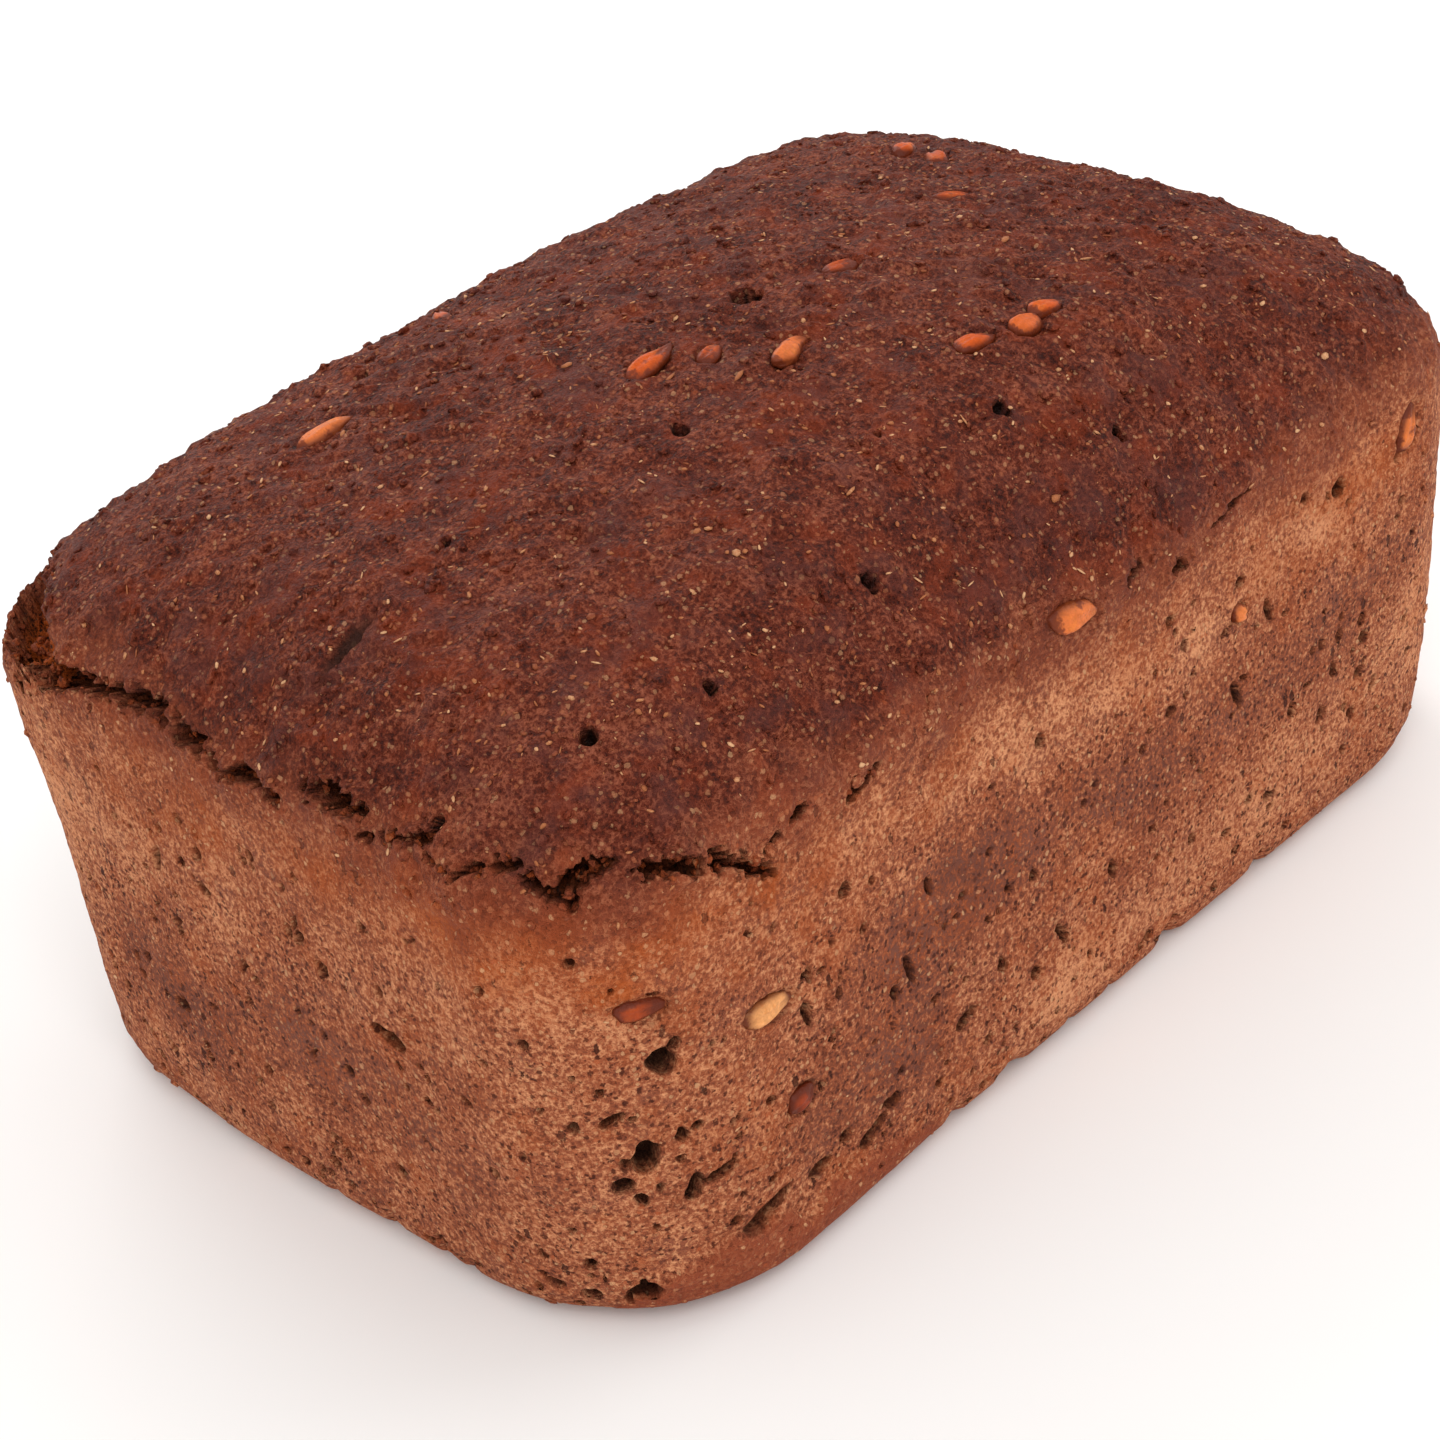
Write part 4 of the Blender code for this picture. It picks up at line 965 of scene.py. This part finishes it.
grainFinish = {
    "ramp": [(0.0, fromScreen(138, 52, 24)), (0.5, fromScreen(206, 84, 16)),
             (1.0, fromScreen(236, 166, 102))],
    "film": (fromScreen(110, 44, 24), 0.85),
    # the streak is a painted highlight on the grains; the edge colour is painted shade where they sink into
    # the crust
    "highlightStreak": fromScreen(230, 130, 48), "edge": fromScreen(92, 34, 14),
    "browning": {"Broad": 420.0, "Fine": 1700.0}, "roughness": 0.45, "specular": 0.18,
}
grainMaterial, tree, shader, coords = newMaterial("ryeGrain")
browning = useGroup(tree, browningGroup, coords, grainFinish["browning"])
tintMask = readAttribute(tree, "tint")
outsideMask = readAttribute(tree, "outside")
lengthMask = readAttribute(tree, "lengthwise")
colour = addRamp(tree, tintMask, grainFinish["ramp"])
# Painted highlight: paler streaks in the warm patches, stronger on the tan grains
highlightStreakShare = addMath(tree, "MULTIPLY", browning["Warm"], addMath(tree, "MULTIPLY", tintMask, 0.6))
colour = addMix(tree, highlightStreakShare, colour, grainFinish["highlightStreak"])
broadTone = addMath(tree, "SUBTRACT", browning["Broad"], 0.5)
fineTone = addMath(tree, "SUBTRACT", browning["Fine"], 0.5)
shadow = addMath(tree, "MULTIPLY_ADD", fineTone, 0.7, 0.98)
shadow = addMath(tree, "MULTIPLY_ADD", broadTone, 0.9, shadow)
grey = addNode(tree, "ShaderNodeCombineColor", None, {0: shadow, 1: shadow, 2: shadow})
colour = addMix(tree, 1.0, colour, grey.outputs[0], "MULTIPLY")
ends = addMath(tree, "ABSOLUTE", addMath(tree, "SUBTRACT", lengthMask, 0.5))
film = addMath(tree, "MULTIPLY_ADD", broadTone, 3.4, addMath(tree, "SUBTRACT", 0.44, outsideMask))
film = addMath(tree, "MULTIPLY_ADD", fineTone, 1.2, film)
film = addMath(tree, "MULTIPLY_ADD", addRange(tree, ends, 0.28, 0.5), 0.5, film)
film = addMath(tree, "MULTIPLY_ADD", addRange(tree, tintMask, 0.5, 1.0), -0.45, film)
film = addRange(tree, film, -0.05, 0.4)
colour = layOver(tree, colour, film, grainFinish["film"])
# painted shade along the grain's sunken edges, where it goes into the crust
colour = addMix(tree, addRange(tree, outsideMask, 0.70, 0.10, 0.0, 0.80), colour, grainFinish["edge"])
bump = addNode(tree, "ShaderNodeBump", {"Strength": 0.5, "Distance": 0.0003}, {"Height": browning["Fine"]})
plug(tree, shader, {"Base Color": colour, "Roughness": grainFinish["roughness"], "Normal": bump.outputs[0],
                    "Specular IOR Level": grainFinish["specular"]})
ryeGrains.data.materials.append(grainMaterial)
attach(ryeGrains, "root")
print("grains laid:", len(grainPieces))


# Bran and crumbs: small shapes set on random spots of the crust, each copy with its own size, turn and tone
def surfaceSpots(count, wanted, seedNumber):
    # random places and normals on the crust, more of them where wanted is high
    mesh = crust.data
    mesh.calc_loop_triangles()
    corners = np.empty(len(mesh.loop_triangles) * 3, np.int32)
    mesh.loop_triangles.foreach_get("vertices", corners)
    corners = corners.reshape(-1, 3)
    places, normals = readPlaces(crust), readNormals(crust)
    a, b, c = places[corners[:, 0]], places[corners[:, 1]], places[corners[:, 2]]
    area = np.linalg.norm(np.cross(b - a, c - a), axis=1)
    weight = area * wanted[corners].mean(1)
    spotDraw = np.random.default_rng(seedNumber)
    chosen = spotDraw.choice(len(corners), count, p=weight / weight.sum())
    shares = spotDraw.dirichlet((1, 1, 1), count)
    spots = (places[corners[chosen]] * shares[:, :, None]).sum(1)
    facing = normals[corners[chosen]].sum(1)
    return spots, facing / np.linalg.norm(facing, axis=1)[:, None], spotDraw


def scatter(name, shapes, spots, facing, headings, sizes, lift, values):
    # one mesh of many copies; the first half of the shapes is for copies up to a millimetre,
    # the other half for longer ones
    other = np.cross(facing, headings)
    other /= np.linalg.norm(other, axis=1)[:, None]
    side = np.cross(other, facing)
    half = len(shapes) // 2
    allPlaces, allFaces, counts, start = [], [], [], 0
    for number in range(len(spots)):
        form, faces = shapes[number % half + half * int(sizes[number][0] > 1.0 * mm)]
        turned = (form * sizes[number]) @ np.stack([side[number], other[number], facing[number]])
        allPlaces.append(spots[number] + facing[number] * lift * sizes[number][2] + turned)
        allFaces.append(faces + start)
        counts.append(len(form))
        start += len(form)
    mesh = bpy.data.meshes.new(name)
    mesh.from_pydata(np.concatenate(allPlaces).tolist(), [], np.concatenate(allFaces).tolist())
    mesh.shade_smooth()
    piece = bpy.data.objects.new(name, mesh)
    bpy.context.collection.objects.link(piece)
    for mask, amounts in values.items():
        writeMask(piece, mask, np.repeat(np.ones(len(spots)) * amounts, counts))
    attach(piece, "root")
    return piece


def unevenSizes(wide, form, spotDraw):         # sizes of copies this wide, with random lengths and heights
    long = wide * spotDraw.uniform(*form["long"], len(wide))
    tall = wide * spotDraw.uniform(*form["tall"], len(wide))
    return np.stack([wide, long, tall], 1) * mm


def smallShape(subdivisions, roughness, flat, seedNumber):
    # an uneven ball of a few dozen triangles, one unit wide
    bpy.ops.object.select_all(action="DESELECT")
    bpy.ops.mesh.primitive_ico_sphere_add(subdivisions=subdivisions, radius=0.5)
    ball = bpy.context.object
    form = readPlaces(ball)
    form *= (1 + roughness * ripple(form, 0.45, seedNumber * 7))[:, None]
    form[:, 2] = form[:, 2] * flat + 0.10 * form[:, 0] ** 2
    faces = np.array([list(face.vertices) for face in ball.data.polygons])
    bpy.data.objects.remove(ball)
    return form, faces


# Bran flakes: many small ones by chance, and the largest at their places
places = readPlaces(crust)
crownPart, hollowShadePart = readMask(crust, "crown"), readMask(crust, "hollowShade")
clear = (hollowShadePart < 0.2) & (places[:, 2] > 0.002)
bran = {
    "count": 4000, "onWalls": 0.10, "lengths": (0.35, 1.12), "slim": (0.22, 0.75), "seed": 21,
    "sliverShare": 0.03, "sliverExtra": 1.0, "sliverSlim": 0.16, "thickness": (0.12, 0.3),
    "named": [  # x, y, length, width, thickness, heading, tone, from above
        (-42.8, -36.4, 1.5, 1.1, 0.4, 10, 0.55), (-41.6, -37.1, 1.3, 0.9, 0.4, -30, 0.70),
        (-42.2, -35.6, 0.9, 0.6, 0.3, 60, 0.40), (-42.4, -42.5, 1.6, 1.2, 0.4, 50, 0.75),
        (-41.5, -43.1, 0.9, 0.7, 0.3, 0, 0.55), (-43.2, -41.7, 0.8, 0.6, 0.3, 20, 0.50),
        (-19.6, -52.8, 1.2, 0.8, 0.4, 30, 0.70), (-18.5, -53.3, 0.9, 0.7, 0.4, -20, 0.60),
        (-20.8, -52.1, 1.0, 0.5, 0.3, 70, 0.50), (-27.0, 2.1, 2.0, 1.1, 0.4, -40, 0.55),
        (-22.2, -12.5, 2.8, 0.9, 0.4, 10, 0.45), (-16.3, -19.5, 2.8, 0.8, 0.4, 14, 0.50),
        (-23.3, -44.4, 2.2, 0.6, 0.4, 10, 0.65), (-62.5, -37.2, 1.5, 1.1, 0.5, 0, 0.15),
        (-44.7, -22.2, 1.8, 1.2, 0.5, 30, 0.10), (42.4, -28.6, 4.4, 0.5, 0.5, 43, 0.90),
        (41.9, -31.4, 2.6, 0.4, 0.4, -20, 0.75), (40.2, -30.9, 1.6, 0.4, 0.4, 60, 0.60),
        (1.8, -56.5, 2.0, 1.2, 0.5, 0, 0.50), (36.9, -21.0, 3.4, 1.0, 0.4, 15, 0.55),
        (59.9, -58.7, 1.8, 1.2, 0.5, 0, 0.85), (-51.4, 21.0, 2.0, 0.9, 0.4, 40, 0.60),
    ],
}
wanted = (bran["onWalls"] + crownPart) * clear * softStep(-0.7, 0.4, ripple(places, 0.011, 5))
spots, facing, spotDraw = surfaceSpots(bran["count"], wanted, bran["seed"])
lengths = spotDraw.uniform(*bran["lengths"], bran["count"]) ** 1.6
slim = spotDraw.uniform(*bran["slim"], bran["count"])
slivers = spotDraw.uniform(0, 1, bran["count"]) < bran["sliverShare"]
lengths = np.where(slivers, lengths + bran["sliverExtra"], lengths)
slim = np.where(slivers, bran["sliverSlim"], slim)
sizes = np.stack([lengths, lengths * slim, np.clip(lengths * 0.22, *bran["thickness"])], 1) * mm
branShapes = [smallShape(1, 0.35, 0.9, number) for number in range(8)]
flakeTones = spotDraw.uniform(0, 1, bran["count"]) ** 1.3
headings = spotDraw.normal(size=facing.shape)
above = [Vector((flake[0] * mm, flake[1] * mm, 0.2)) for flake in bran["named"]]
namedSpots = [surfaceAt(start, Vector((0, 0, -1)), 0.0015) for start in above]
namedTurns = [math.radians(flake[5]) for flake in bran["named"]]
spots = np.concatenate([spots, [place for place, normal in namedSpots]])
facing = np.concatenate([facing, [normal for place, normal in namedSpots]])
sizes = np.concatenate([sizes, [np.array(flake[2:5]) * mm for flake in bran["named"]]])
headings = np.concatenate([headings, [(math.cos(turn), math.sin(turn), 0) for turn in namedTurns]])
flakeTones = np.concatenate([flakeTones, [flake[6] for flake in bran["named"]]])
branFlakes = scatter("branFlakes", branShapes, spots, facing, headings, sizes, 0.22, {"tint": flakeTones})
branFinish = {
    "ramp": [(0.05, fromScreen(126, 58, 32)), (0.6, fromScreen(172, 104, 62)),
             (1.0, fromScreen(214, 164, 120))],
    "browning": {"Broad": 900.0, "Fine": 3000.0}, "roughness": 0.7, "specular": 0.25,
}
branMaterial, tree, shader, coords = newMaterial("branFlake")
browning = useGroup(tree, browningGroup, coords, branFinish["browning"])
fineTone = addMath(tree, "SUBTRACT", browning["Fine"], 0.5)
tone = addMath(tree, "MULTIPLY_ADD", fineTone, 0.8, readAttribute(tree, "tint"), clamp=True)
colour = addRamp(tree, tone, branFinish["ramp"])
plug(tree, shader, {"Base Color": colour, "Roughness": branFinish["roughness"],
                    "Specular IOR Level": branFinish["specular"]})
branFlakes.data.materials.append(branMaterial)

# Crumbs in the colours of the crust below them
crumbs = {
    "count": 3900, "onWalls": 0.22, "sizes": (0.5, 2.1), "long": (0.6, 1), "tall": (0.35, 0.7), "seed": 33,
}
wanted = (crumbs["onWalls"] + crownPart) * clear
spots, facing, spotDraw = surfaceSpots(crumbs["count"], wanted, crumbs["seed"])
smallest, largest = crumbs["sizes"]
wide = spotDraw.uniform(0, 1, crumbs["count"]) ** 2 * (largest - smallest) + smallest
sizes = unevenSizes(wide, crumbs, spotDraw)
crumbShapes = [smallShape(1 + number // 4, 0.5, 1.0, number + 40) for number in range(8)]
nearest = [crustTree.find_nearest(Vector(spot))[2] for spot in spots.tolist()]
crustCorners = [crust.data.polygons[number].vertices[0] for number in nearest]
values = {name: readMask(crust, name)[crustCorners] for name in ("crown", "shade", "fold", "amber")}
crumbHeadings = spotDraw.normal(size=facing.shape)
crustCrumbs = scatter("crustCrumbs", crumbShapes, spots, facing, crumbHeadings, sizes, -0.08,
                      {**values, "hollowShade": 0, "rust": 0, "dent": 0, "sponge": 0})
crustCrumbs.data.materials.append(crustMaterial)

# Torn bits of dough that hang in the crack and lie in the torn corner
bits = {
    "count": 560, "sizes": (0.4, 1.6), "long": (0.4, 1), "tall": (0.5, 1.1), "seed": 8,
    "darkness": (0.0, 0.6),
}
gapPart = readMask(crust, "gap")
spots, facing, spotDraw = surfaceSpots(bits["count"], softStep(0.15, 0.6, gapPart) + 1e-9, bits["seed"])
wide = spotDraw.uniform(*bits["sizes"], bits["count"])
sizes = unevenSizes(wide, bits, spotDraw)
bitShapes = [smallShape(2, 0.9, 1.0, number + 60) for number in range(6)]
# each bit gets a random share of the painted hollow shade, as if it lay deeper in the crack
dark = spotDraw.uniform(*bits["darkness"], bits["count"])
bitHeadings = spotDraw.normal(size=facing.shape)
tornBits = scatter("tornBits", bitShapes, spots, facing, bitHeadings, sizes, 0.1,
                   {"crown": 0.5, "shade": -0.4, "fold": 0, "amber": 0.5, "hollowShade": dark,
                    "rust": 1, "dent": 0, "sponge": 0})
tornBits.data.materials.append(crustMaterial)
print("bran and crumbs laid")

# Floor and lights
studio = {
    "floor": fromScreen(250, 249, 247), "floorRoughness": 0.9, "world": 0.78,
    "lights": [("keyLight", (-0.55, -0.75, 1.05), 0.9, 6.5), ("fillLight", (0.9, -0.35, 0.75), 0.9, 2.8),
               ("backLight", (0.35, 0.95, 0.75), 0.7, 4.5)],     # name, place, size and power
    "aim": (0, 0, 0.04),
}
bpy.ops.object.select_all(action="DESELECT")
bpy.ops.mesh.primitive_plane_add(size=6)
floor = bpy.context.object
floor.name = "paleFloor"
floorMaterial, tree, shader, coords = newMaterial("paleFloor")
plug(tree, shader, {"Base Color": studio["floor"], "Roughness": studio["floorRoughness"]})
floor.data.materials.append(floorMaterial)
for name, place, size, power in studio["lights"]:
    bpy.ops.object.light_add(type="AREA", location=place)
    light = bpy.context.object
    light.name = name
    light.data.size = size
    light.data.energy = power
    light.rotation_euler = (Vector(studio["aim"]) - Vector(place)).to_track_quat("-Z", "Y").to_euler()
world = bpy.data.worlds.new("paleRoom")
world.use_nodes = True
world.node_tree.nodes["Background"].inputs["Color"].default_value = (1, 1, 1, 1)
world.node_tree.nodes["Background"].inputs["Strength"].default_value = studio["world"]
bpy.context.scene.world = world
print("lights set")
